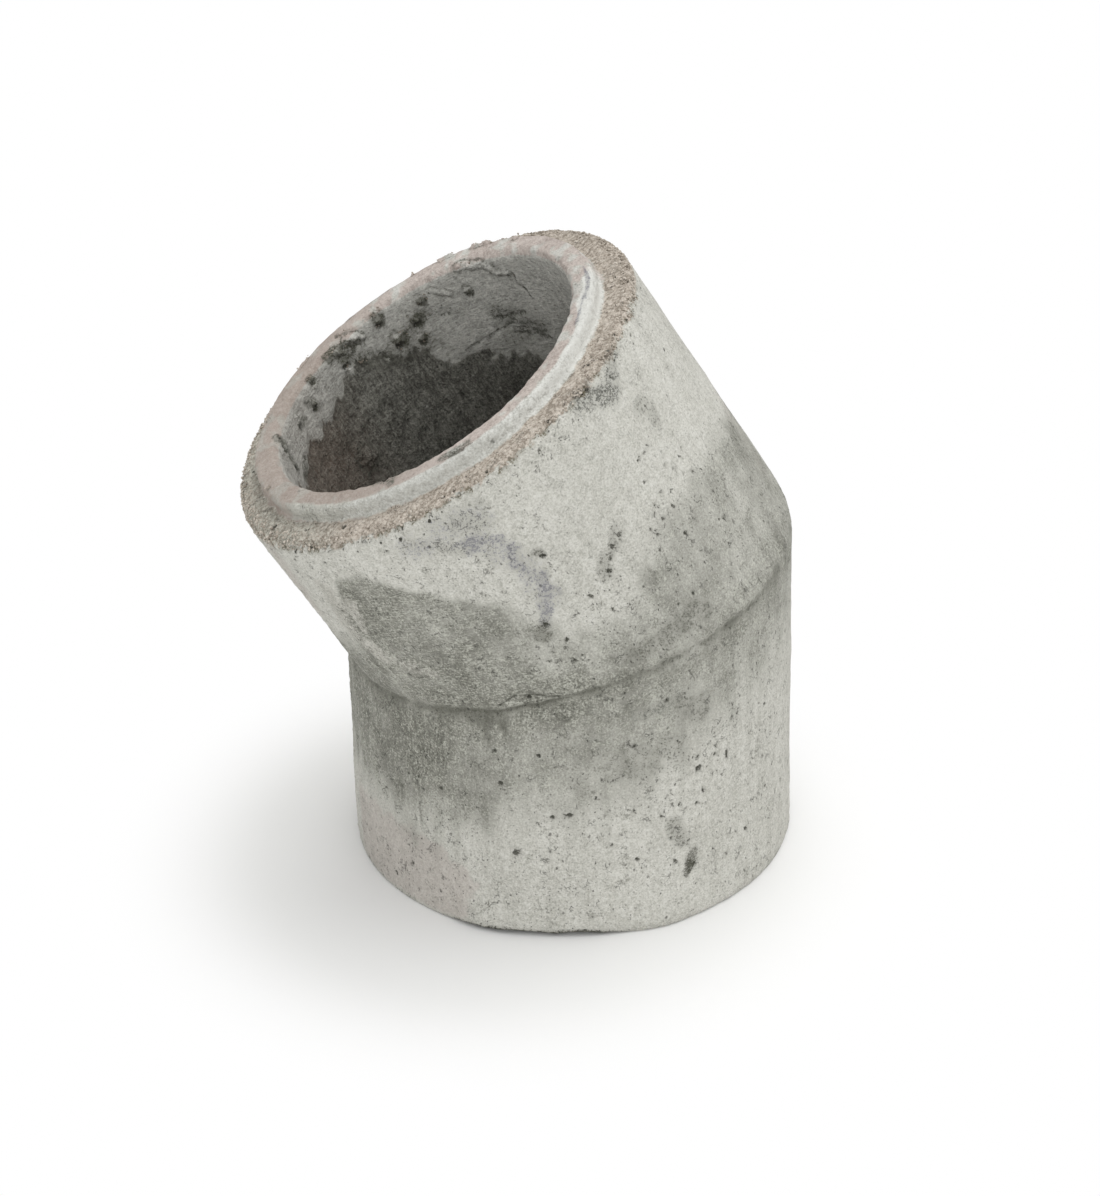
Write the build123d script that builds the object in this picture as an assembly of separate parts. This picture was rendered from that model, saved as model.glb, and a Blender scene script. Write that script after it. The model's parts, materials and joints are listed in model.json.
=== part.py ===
"""Flue liner bend, cast in pumice concrete as one piece.

A thick round tube stands on its foot rim and turns once, at a mitre, to a leaning upper leg.
The foot has a rebated socket, hidden inside the rim. The head has a low spigot on a rounded
shoulder, so that the next liner's socket drops over it and rests on the shoulder.

Frame: the origin is the centre of the foot rim. +Z is up the lower leg's axis. The bend lies
in the XZ plane, the upper leg leans towards -X, and the heel of the bend is on the +X side.
All sizes are in millimetres and degrees.
"""

import os
from math import cos, radians, sin, tan

from build123d import *

# The tube
BORE_DIAMETER = 200.0  # clear way for the smoke
WALL = 34.0  # thickness of the cast wall on both legs
BEND_ANGLE = 30.0  # lean of the upper leg from the vertical
FOOT_LEG = 174.0  # foot rim to the mitre, along the lower axis
HEAD_LEG = 157.0  # mitre to the shoulder, along the upper axis

# The heel: the outside of the bend is struck off round instead of left as a sharp edge
HEEL_RADIUS = 45.0

# The spigot at the head
SPIGOT_WALL = 15.0  # from the bore out to the spigot's flank
SPIGOT_HEIGHT = 10.5  # from the shoulder up to the trowelled top
SPIGOT_TOP_ROUND = 2.5
SPIGOT_ROOT_ROUND = 2.5
SHOULDER_ROUND = 6.0  # rubbed outer edge of the shoulder
MOUTH_ROUND = 4.0  # rounded lip of the bore

# The socket at the foot
JOINT_PLAY = 1.5  # radial room for jointing mortar round a spigot
JOINT_BED = 2.0  # room for mortar above the spigot's top
SOCKET_FLOOR_ROUND = 1.5
FOOT_EDGE_CHAMFER = 2.5

# Sizes that follow
BORE_R = BORE_DIAMETER / 2
OUTER_R = BORE_R + WALL
SPIGOT_R = BORE_R + SPIGOT_WALL
SOCKET_R = SPIGOT_R + JOINT_PLAY
SOCKET_DEPTH = SPIGOT_HEIGHT + JOINT_BED
HEAD_BAND = SHOULDER_ROUND + 4.0  # length of the head that is turned as one profile
HEAD_TOP = HEAD_LEG + SPIGOT_HEIGHT
LEAN = radians(BEND_ANGLE)

lower_axis = Vector(0, 0, 1)
upper_axis = Vector(-sin(LEAN), 0, cos(LEAN))
mitre_point = Vector(0, 0, FOOT_LEG)
head_frame = Location((0, 0, FOOT_LEG)) * Rotation(0, -BEND_ANGLE, 0)


def corner(centre_x: float, centre_z: float, radius: float, start: float) -> Edge:
    """A quarter of a circle in the XZ plane, from the start angle anticlockwise."""
    frame = Plane(origin=(centre_x, 0, centre_z), x_dir=(1, 0, 0), z_dir=(0, -1, 0))
    return frame * CenterArc((0, 0), radius, start, 90)


def mitred_tube(radius: float) -> Part:
    """A solid round bar that follows both axes, cut to a sharp mitre where they meet."""
    end = mitre_point + upper_axis * (HEAD_LEG - HEAD_BAND)
    route = Polyline((0, 0, 0), tuple(mitre_point), tuple(end))
    return sweep(Plane.XY * Circle(radius), path=route, transition=Transition.RIGHT)


def head_ring() -> Part:
    """The end of the upper leg as a turned profile: shoulder, spigot and bore lip."""
    base = HEAD_LEG - HEAD_BAND
    root_x = SPIGOT_R + SPIGOT_ROOT_ROUND
    shoulder = corner(OUTER_R - SHOULDER_ROUND, HEAD_LEG - SHOULDER_ROUND, SHOULDER_ROUND, 0)
    root = corner(root_x, HEAD_LEG + SPIGOT_ROOT_ROUND, SPIGOT_ROOT_ROUND, 180)
    top = corner(SPIGOT_R - SPIGOT_TOP_ROUND, HEAD_TOP - SPIGOT_TOP_ROUND, SPIGOT_TOP_ROUND, 0)
    lip = corner(BORE_R + MOUTH_ROUND, HEAD_TOP - MOUTH_ROUND, MOUTH_ROUND, 90)
    outline = [
        Line((BORE_R, 0, base), (OUTER_R, 0, base)),
        Line((OUTER_R, 0, base), (OUTER_R, 0, HEAD_LEG - SHOULDER_ROUND)),
        shoulder,
        Line((OUTER_R - SHOULDER_ROUND, 0, HEAD_LEG), (root_x, 0, HEAD_LEG)),
        root,
        Line((SPIGOT_R, 0, HEAD_LEG + SPIGOT_ROOT_ROUND), (SPIGOT_R, 0, HEAD_TOP - SPIGOT_TOP_ROUND)),
        top,
        Line((SPIGOT_R - SPIGOT_TOP_ROUND, 0, HEAD_TOP), (BORE_R + MOUTH_ROUND, 0, HEAD_TOP)),
        lip,
        Line((BORE_R, 0, HEAD_TOP - MOUTH_ROUND), (BORE_R, 0, base)),
    ]
    return head_frame * revolve(make_face(outline), axis=Axis.Z)


def heel_waste() -> Part:
    """What is struck off the outside of the mitre, so that the heel turns on HEEL_RADIUS."""
    corner_z = FOOT_LEG + OUTER_R * tan(LEAN / 2)
    pivot_x = OUTER_R - HEEL_RADIUS
    pivot_z = corner_z - HEEL_RADIUS * tan(LEAN / 2)
    reach = OUTER_R * 1.5
    outside = Rectangle(reach - pivot_x, 2 * reach, align=(Align.MIN, Align.CENTER))
    outside = Pos(pivot_x, 0) * outside - Circle(OUTER_R)
    pivot = Axis((pivot_x, 0, pivot_z), (0, -1, 0))
    return revolve(Pos(0, 0, pivot_z) * outside, axis=pivot, revolution_arc=BEND_ANGLE)


def socket_waste() -> Part:
    """The rebate inside the foot rim, with a small round at its floor."""
    floor_r = SOCKET_R - SOCKET_FLOOR_ROUND
    outline = [
        Line((0, 0, 0), (SOCKET_R, 0, 0)),
        Line((SOCKET_R, 0, 0), (SOCKET_R, 0, SOCKET_DEPTH - SOCKET_FLOOR_ROUND)),
        corner(floor_r, SOCKET_DEPTH - SOCKET_FLOOR_ROUND, SOCKET_FLOOR_ROUND, 0),
        Line((floor_r, 0, SOCKET_DEPTH), (0, 0, SOCKET_DEPTH)),
        Line((0, 0, SOCKET_DEPTH), (0, 0, 0)),
    ]
    return revolve(make_face(outline), axis=Axis.Z)


def foot_edge_waste() -> Part:
    """The narrow ring broken off the foot rim's outer edge."""
    inner = OUTER_R - FOOT_EDGE_CHAMFER
    outline = Polyline(
        (inner, 0, 0),
        (OUTER_R + 1, 0, FOOT_EDGE_CHAMFER + 1),
        (OUTER_R + 1, 0, -1),
        (inner - 1, 0, -1),
        (inner, 0, 0),
    )
    return revolve(make_face(outline), axis=Axis.Z)


bend = mitred_tube(OUTER_R) - heel_waste() - mitred_tube(BORE_R) + head_ring()
bend = (bend - socket_waste() - foot_edge_waste()).clean()
flue_bend = bend.solids()[0]
flue_bend.label = "flue_bend"

os.makedirs("parts", exist_ok=True)
export_step(flue_bend, "parts/flue_bend.step")
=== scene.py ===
"""Looks of the flue liner bend: one casting in pumice concrete, with its real relief and finish.

The casting starts as a straight liner, spun from the section of its wall. It is laid over the mitred
axis, its heel is struck off round, and its surface is roughened where the real one is rough. Masks
painted on its vertices tell the finish where the concrete is damp, sandy, trowelled or stained.
Grains of pumice that stand out of the shoulder and the bore are a second mesh.
"""

import json
import logging
import math
import random
from collections.abc import Callable, Sequence
from dataclasses import dataclass, field
from enum import Enum
from functools import partial

import bmesh
import bpy
import numpy as np
from mathutils import Matrix, Quaternion, Vector

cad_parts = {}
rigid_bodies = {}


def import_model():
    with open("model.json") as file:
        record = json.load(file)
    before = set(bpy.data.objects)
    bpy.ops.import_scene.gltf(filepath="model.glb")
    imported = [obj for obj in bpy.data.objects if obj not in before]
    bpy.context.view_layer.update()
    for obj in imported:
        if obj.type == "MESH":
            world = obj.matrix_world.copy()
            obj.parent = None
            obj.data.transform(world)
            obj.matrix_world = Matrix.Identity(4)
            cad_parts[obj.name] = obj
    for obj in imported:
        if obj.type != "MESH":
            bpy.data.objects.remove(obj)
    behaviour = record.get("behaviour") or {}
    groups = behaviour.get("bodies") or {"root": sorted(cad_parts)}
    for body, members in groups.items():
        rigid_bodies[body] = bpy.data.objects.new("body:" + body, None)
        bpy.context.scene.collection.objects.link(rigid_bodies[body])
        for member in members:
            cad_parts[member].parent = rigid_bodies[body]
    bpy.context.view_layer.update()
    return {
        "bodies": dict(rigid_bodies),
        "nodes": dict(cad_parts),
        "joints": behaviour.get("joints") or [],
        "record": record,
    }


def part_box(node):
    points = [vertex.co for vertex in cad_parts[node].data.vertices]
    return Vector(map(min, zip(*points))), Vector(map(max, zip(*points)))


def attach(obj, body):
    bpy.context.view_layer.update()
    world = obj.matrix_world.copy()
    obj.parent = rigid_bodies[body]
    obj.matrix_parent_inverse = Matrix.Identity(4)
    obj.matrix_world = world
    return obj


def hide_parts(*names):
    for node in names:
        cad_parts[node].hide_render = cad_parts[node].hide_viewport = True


MM = 0.001
NODE = "flue_bend"
BODY = "root"

log = logging.getLogger("flue_bend")

Array = np.ndarray
BMesh = bmesh.types.BMesh
Socket = bpy.types.NodeSocket
Node = Callable[..., Socket]
Point = tuple[float, float, float]


def linear(code: str) -> tuple[float, float, float, float]:
    """Turns an sRGB hex colour to the linear colour that shaders take.

    Args:
        code: six hex digits, with or without a leading hash.

    Returns:
        Linear red, green, blue and an alpha of one.
    """
    digits = code.lstrip("#")
    parts = [int(digits[i : i + 2], 16) / 255 for i in (0, 2, 4)]
    flat = [c / 12.92 if c <= 0.04045 else ((c + 0.055) / 1.055) ** 2.4 for c in parts]
    return (flat[0], flat[1], flat[2], 1.0)


def add_node(tree: bpy.types.NodeTree, kind: str, *inputs, out: int | str = 0, **settings) -> Socket | None:
    """Adds a shader node with its settings and links.

    Args:
        tree: node tree that gets the node.
        kind: Blender's name of the node type, without the ShaderNode in front.
        inputs: a value or another node's output for each input in order, or a dict of them by input.
        out: name or number of the output to hand back.
        settings: properties of the node itself.

    Returns:
        That output of the new node, or None from a node that has none.
    """
    made = tree.nodes.new("ShaderNode" + kind)
    for name, value in settings.items():
        setattr(made, name, value)
    links = inputs[0] if inputs and isinstance(inputs[0], dict) else dict(enumerate(inputs))
    for key, value in links.items():
        if isinstance(value, Socket):
            tree.links.new(value, made.inputs[key])
        else:
            made.inputs[key].default_value = value
    return made.outputs[out] if made.outputs else None


def fresh_nodes(owner: bpy.types.Material | bpy.types.World) -> Node:
    """Clears the nodes of a material or world, and returns the function that adds one to it."""
    owner.use_nodes = True
    owner.node_tree.nodes.clear()
    return partial(add_node, owner.node_tree)


def graded(node: Node, value: Socket, stops: Sequence[tuple[float, str]]) -> Socket:
    """Colours a 0 to 1 value.

    Args:
        node: adds a node.
        value: the value.
        stops: positions from low to high, each with its sRGB hex colour.

    Returns:
        The colour.
    """
    made = node("ValToRGB", value)
    elements = made.node.color_ramp.elements
    for end, (position, shade) in zip(elements, (stops[0], stops[-1])):
        end.position, end.color = position, linear(shade)
    for position, shade in stops[1:-1]:
        elements.new(position).color = linear(shade)
    return made


def show(name: str, data: bpy.types.ID) -> bpy.types.Object:
    """Puts a mesh, lamp or camera into the scene as an object of that name."""
    piece = bpy.data.objects.new(name, data)
    bpy.context.scene.collection.objects.link(piece)
    return piece


def finished_mesh(name: str, bm: BMesh) -> bpy.types.Mesh:
    """Turns a mesh that was worked on into a mesh of that name."""
    mesh = bpy.data.meshes.new(name)
    bm.to_mesh(mesh)
    bm.free()
    return mesh


def per_mm(size_mm: float) -> float:
    """Scale of a texture on metre coordinates whose pattern repeats about every size_mm."""
    return 1000.0 / size_mm


def smooth(low: float | Array, high: float | Array, value: Array) -> Array:
    """Smooth step from 0 at low to 1 at high, falling instead where low is above high."""
    share = np.clip((value - low) / (high - low), 0.0, 1.0)
    return share * share * (3.0 - 2.0 * share)


def scatter(cells: Array, seed: int) -> Array:
    """Random whole number for each whole-number place, the same on every run.

    Args:
        cells: whole-number places, one row each.
        seed: makes another set of numbers.

    Returns:
        One 32-bit number for each place.
    """
    mixed = (cells @ np.array((374761393, 668265263, 2147483647)) + seed * 974634777) & 0xFFFFFFFF
    mixed = ((mixed ^ (mixed >> 13)) * 1274126177) & 0xFFFFFFFF
    return mixed ^ (mixed >> 16)


def gradients(points: Array, seed: int) -> Array:
    """Gradient noise, about -1 to 1, with lumps one unit apart.

    Args:
        points: places in units of the noise, one row each.
        seed: makes another field.

    Returns:
        One value for each place.
    """
    base = np.floor(points).astype(np.int64)
    inside = points - base
    ease = inside**3 * (inside * (inside * 6.0 - 15.0) + 10.0)
    total = np.zeros(len(points))
    for corner in np.ndindex(2, 2, 2):
        step = np.array(corner)
        number = scatter(base + step, seed)
        turn = (number & 0xFFFF) / 0x10000 * math.tau
        rise = (number >> 16) / 0x8000 - 1.0
        flat = np.sqrt(np.maximum(1.0 - rise**2, 0.0))
        x, y, z = (inside - step).T
        pull = x * flat * np.cos(turn) + y * flat * np.sin(turn) + z * rise
        total += pull * np.prod(np.where(step, ease, 1.0 - ease), axis=1)
    return total * 1.6


def cloud(points: Array, size_mm: float, seed: int, octaves: int = 3) -> Array:
    """Soft random field, about -1 to 1, whose largest lumps are size_mm apart.

    Args:
        points: places in millimetres, one row each.
        size_mm: spacing of the largest lumps.
        seed: makes another field.
        octaves: how many fields are added, each half as large as the last.

    Returns:
        One value for each place.
    """
    total = np.zeros(len(points))
    for i in range(octaves):
        total += gradients(points * (2**i / size_mm) + 7.3 * i, seed + 31 * i) / 2**i
    return total


def stones(points: Array, size_mm: float, seed: int) -> Array:
    """Rounded stones packed size_mm apart, 1 on their tops and 0 where they meet.

    Args:
        points: places in millimetres, one row each.
        size_mm: mean distance from stone to stone.
        seed: makes another packing.

    Returns:
        One value for each place.
    """
    spots = points / size_mm
    base = np.floor(spots).astype(np.int64)
    nearest = np.full(len(points), 9.0)
    for corner in np.ndindex(3, 3, 3):
        cell = base + np.array(corner) - 1
        number = scatter(cell, seed)
        jitter = np.stack([number & 0x3FF, (number >> 10) & 0x3FF, (number >> 20) & 0x3FF], axis=1)
        nearest = np.minimum(nearest, ((cell + jitter / 0x3FF - spots) ** 2).sum(axis=1))
    return np.clip(1.0 - np.sqrt(nearest) / 0.8, 0.0, 1.0)


class Place(Enum):
    """Which surface of the casting a mark lies on, and what its distance along means."""

    STANDING = "outside of the standing leg, height above the rim"
    LEANING = "outside of the leaning leg, distance above the mitre"
    SHOULDER = "flat of the shoulder, radius"
    FLANK = "flank of the spigot, depth below its top"
    TOP = "trowelled top of the spigot, radius"
    BORE = "bore of the leaning leg, depth below the mouth"


class Trace(Enum):
    """What a mark is."""

    # the dark inside a hole is painted shade together with dirt
    PIT = "hole with a dark inside"
    LUMP = "lump of mortar"
    # the dark in a crack is partly painted shade in it
    CRACK = "narrow dark crack"
    RIDGE = "smooth smear of mortar"
    DIRT = "dark stain"
    # grime, and also the painted shade round each clod in the bore
    GRIME_AND_SHADE = "thick olive grime"
    VIOLET = "bluish stain"
    ROSE = "reddish bloom of brick dust"
    SCUFF = "scratched patch"


@dataclass(frozen=True)
class Mark:
    """One spot or stroke, in millimetres and degrees.

    Angles run round the leg's own axis from the heel, which is 0, with the side that faces the
    camera at -90 and the throat at 180.
    """

    trace: Trace
    place: Place
    path: tuple[tuple[float, float], ...]
    radius: float
    strength: float = 1.0


@dataclass(frozen=True)
class Patch:
    """Stretch of surface with small pores strewn over it."""

    place: Place
    angles: tuple[float, float]
    alongs: tuple[float, float]
    count: int
    radii: tuple[float, float] = (0.9, 1.6)

    def strew(self, pick: random.Random) -> list[Mark]:
        """Chooses the pores.

        Args:
            pick: seeded source of numbers.

        Returns:
            One mark for each pore.
        """
        pores = []
        for _ in range(self.count):
            spot = (pick.uniform(*self.angles), pick.uniform(*self.alongs))
            radius = self.radii[0] + (self.radii[1] - self.radii[0]) * pick.random() ** 2
            pores.append(Mark(Trace.PIT, self.place, (spot,), radius, pick.uniform(0.6, 1.0)))
        return pores


@dataclass(frozen=True)
class EdgeLine:
    """Values round a leg, as pairs of an angle in degrees and the value there."""

    points: tuple[tuple[float, float], ...]

    def at(self, angles: Array) -> Array:
        """Value at each angle, carried on past a full turn."""
        turns, values = np.array(self.points, dtype=float).T
        return np.interp(angles, turns, values, period=360.0)


@dataclass(frozen=True)
class BendSizes:
    """Sizes of the casting in millimetres and radians."""

    outer: float
    spigot: float
    socket: float
    lean: float
    foot_leg: float
    head_leg: float
    head_top: float
    socket_wall: float
    bore: float = 100.0
    heel_radius: float = 45.0
    shoulder_round: float = 6.0
    spigot_round: float = 2.5
    mouth_round: float = 4.0
    socket_round: float = 1.5
    foot_edge: float = 2.5

    @classmethod
    def from_frame(cls, frame: dict) -> "BendSizes":
        """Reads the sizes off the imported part: its box and its stated interfaces.


        Returns:
            The sizes, with those that no interface states at their usual values.
        """
        mounts = {m["name"]: m for m in frame["record"]["mounts"]}
        spigot, socket, shoulder = mounts["spigot"], mounts["socket"], mounts["shoulder"]
        axis = Vector(spigot["axis"])
        middle = Vector(spigot["pos_m"])
        foot = middle - axis * (middle.x / axis.x)
        half = spigot["dims"]["length_mm"] / 2
        return cls(
            outer=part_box(NODE)[1].y / MM,
            spigot=spigot["dims"]["r_mm"],
            socket=socket["dims"]["r_mm"],
            lean=math.atan2(-axis.x, axis.z),
            foot_leg=foot.z / MM,
            head_leg=(Vector(shoulder["pos_m"]) - foot).dot(axis) / MM,
            head_top=(middle - foot).dot(axis) / MM + half + cls.spigot_round,
            socket_wall=socket["dims"]["length_mm"],
        )

    @property
    def half_tan(self) -> float:
        """Rise of the mitre plane for each millimetre towards the heel."""
        return math.tan(self.lean / 2)

    @property
    def shoulder(self) -> float:
        """Height of the shoulder on the straightened liner."""
        return self.foot_leg + self.head_leg

    @property
    def top(self) -> float:
        """Height of the spigot's top on the straightened liner."""
        return self.foot_leg + self.head_top

    @property
    def flat_in(self) -> float:
        """Radius where the shoulder's flat starts, outside the spigot's root."""
        return self.spigot + self.spigot_round

    @property
    def flat_out(self) -> float:
        """Radius where the shoulder's flat ends and its outer round starts."""
        return self.outer - self.shoulder_round

    @property
    def mitre(self) -> Array:
        """Where the two axes meet."""
        return np.array((0.0, 0.0, self.foot_leg))

    @property
    def up(self) -> Array:
        """Direction of the leaning leg's axis."""
        return np.array((-math.sin(self.lean), 0.0, math.cos(self.lean)))

    @property
    def across(self) -> Array:
        """Direction across the leaning leg in the plane of the bend, towards the heel."""
        return np.array((math.cos(self.lean), 0.0, math.sin(self.lean)))

    def lay(self, straight: Array) -> Array:
        """Lays a straight liner over the mitred axis.

        Rows keep square to the legs at both ends and tilt little by little to the mitre plane.

        Args:
            straight: points of the straight liner, one row each.

        Returns:
            The same points on the bent liner.
        """
        x, y, z = straight.T
        level = 12.0
        tilt_low = np.clip((z - level) / (self.foot_leg - level), 0.0, 1.0)
        low = np.stack([x, y, z + x * self.half_tan * tilt_low], axis=1)
        above = z - self.foot_leg
        tilt_high = 1.0 - np.clip(above / (self.head_leg - level), 0.0, 1.0)
        reach = above - x * self.half_tan * tilt_high
        high = self.mitre + np.outer(x, self.across) + np.outer(reach, self.up)
        high[:, 1] = y
        return np.where((z <= self.foot_leg)[:, None], low, high)

    def strike_heel(self, points: Array) -> Array:
        """Rounds the sharp outside of the mitre about an axle that lies inside the wall.

        Args:
            points: points on the outside of the bent liner.

        Returns:
            The points, with those beyond the round heel drawn back on to it.
        """
        pivot_x = self.outer - self.heel_radius
        pivot_z = self.foot_leg + pivot_x * self.half_tan
        out = points[:, 0] - pivot_x
        rise = points[:, 2] - pivot_z
        turn = np.arctan2(rise, out)
        span = np.hypot(out, rise)
        room = np.maximum(np.sqrt(np.maximum(self.outer**2 - points[:, 1] ** 2, 0.0)) - pivot_x, 0.0)
        beyond = (turn >= 0.0) & (turn <= self.lean) & (out > 0.0) & (span > room)
        share = np.where(beyond, room / np.maximum(span, 1e-6), 1.0)
        moved = points.copy()
        moved[:, 0] = pivot_x + out * share
        moved[:, 2] = pivot_z + rise * share
        return moved

    def seam_height(self, points: Array, leaning: Array) -> Array:
        """Distance above the mitre, measured along the leg that each point is on.

        Args:
            points: points on the bent liner.
            leaning: true for points of the leaning leg.

        Returns:
            Signed distances in millimetres, positive on the leaning leg.
        """
        below = points[:, 2] - self.foot_leg - points[:, 0] * self.half_tan
        offset = points - self.mitre
        above = offset @ self.up + (offset @ self.across) * self.half_tan
        return np.where(leaning, above, below)

    def spot(self, place: Place, angle: float, along: float) -> Array:
        """Point of the bent liner that a mark's own coordinates name.

        Args:
            place: which surface.
            angle: degrees round the leg from the heel.
            along: the place's own distance in millimetres.

        Returns:
            The point in millimetres.
        """
        if place is Place.STANDING:
            turn = math.radians(angle)
            return np.array((self.outer * math.cos(turn), self.outer * math.sin(turn), along))
        radius, height = {
            Place.LEANING: (self.outer, along),
            Place.SHOULDER: (along, self.head_leg),
            Place.FLANK: (self.spigot, self.head_top - along),
            Place.TOP: (along, self.head_top),
            Place.BORE: (self.bore, self.head_top - along),
        }[place]
        return self.on_leg(angle, radius, height)

    def on_leg(self, angle: float, radius: float, height: float) -> Array:
        """Point of the leaning leg at degrees from the heel, off the leg's axis and above the mitre."""
        turn = math.radians(angle)
        outward = math.cos(turn) * self.across + np.array((0.0, math.sin(turn), 0.0))
        return self.mitre + radius * outward + height * self.up

    def trail(self, mark: Mark) -> Array:
        """Points along a mark's path, close enough together to read as one stroke."""
        corners = [self.spot(mark.place, *corner) for corner in mark.path]
        points = corners[:1]
        for i, (start, end) in enumerate(zip(mark.path, mark.path[1:])):
            length = float(np.linalg.norm(corners[i + 1] - corners[i]))
            count = max(1, math.ceil(length / (0.6 * mark.radius)))
            for share in np.arange(1, count + 1) / count:
                turn = start[0] + (end[0] - start[0]) * share
                points.append(self.spot(mark.place, turn, start[1] + (end[1] - start[1]) * share))
        return np.array(points)


@dataclass(frozen=True)
class Weathering:
    """Where the casting is damp, coated, sandy or jointed, as lines round its legs."""

    damp_top: EdgeLine = EdgeLine(
        (
            (-168, 64), (-158, 72), (-152, 76), (-147, 92), (-142, 112), (-137, 130), (-131, 132),
            (-123, 118), (-115, 106), (-108, 94), (-100, 74), (-92, 50), (-84, 42), (-74, 38), (-66, 48),
            (-57, 58), (-45, 60), (-30, 58), (-12, 48), (30, 40), (70, 62), (110, 84), (150, 70),
        )
    )
    damp_top_level: EdgeLine = EdgeLine(
        (
            (-170, 0.5), (-150, 0.72), (-135, 0.82), (-120, 0.8), (-110, 0.64), (-100, 0.48), (-88, 0.52),
            (-75, 0.5), (-45, 0.5), (0, 0.55), (60, 0.7), (120, 0.8),
        )
    )
    damp_foot: EdgeLine = EdgeLine(
        (
            (-175, 64), (-150, 64), (-138, 64), (-127, 66), (-116, 78), (-104, 86), (-94, 86), (-83, 88),
            (-70, 118), (-60, 132), (-49, 136), (-31, 140), (0, 160), (50, 146), (100, 118), (150, 84),
        )
    )
    damp_foot_level: EdgeLine = EdgeLine(
        (
            (-170, 0.78), (-150, 0.86), (-130, 0.8), (-112, 0.62), (-95, 0.52), (-78, 0.5), (-60, 0.58),
            (-40, 0.55), (0, 0.5), (50, 0.55), (100, 0.7),
        )
    )
    coat_depth: EdgeLine = EdgeLine(
        (
            (-160, 34), (-100, 40), (-40, 44), (10, 52), (40, 66), (52, 84), (60, 70), (68, 74), (76, 62),
            (85, 52), (96, 40), (104, 34), (114, 24), (122, 25), (130, 28), (142, 33), (152, 31), (161, 34),
        )
    )
    sand_reach: EdgeLine = EdgeLine(
        (
            (-170, 21), (-152, 19.5), (-138, 17.5), (-122, 16), (-100, 15.5), (-70, 15.5), (-50, 16.5),
            (-22, 19), (0, 22),
        )
    )
    lime_inner: EdgeLine = EdgeLine(
        (
            (-165, 111.5), (-60, 112.5), (-50, 113), (-38, 111.5), (-28, 108.5), (-21, 106.5), (-9, 109.5),
            (0, 113), (20, 116), (180, 116),
        )
    )
    seam_wander: EdgeLine = EdgeLine(
        (
            (-180, 0), (-140, -3), (-124, -2), (-116, -3), (-109, -2), (-103, 0), (-90, -2), (-65, -3),
            (-48, -5), (-10, 0),
        )
    )
    seam_width: EdgeLine = EdgeLine(
        (
            (-180, 1.2), (-150, 2.4), (-132, 2.0), (-122, 0.9), (-100, 0.9), (-86, 1.6), (-70, 2.6),
            (-45, 3.2), (0, 1.6),
        )
    )
    seam_depth: EdgeLine = EdgeLine(
        (
            (-180, 0.8), (-150, 0.5), (-130, 0.8), (-120, 1.3), (-105, 1.2), (-90, 0.7), (-70, 0.65),
            (-50, 0.5), (-30, 0.22), (0, 0.1), (60, 0.5), (120, 0.9),
        )
    )


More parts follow.
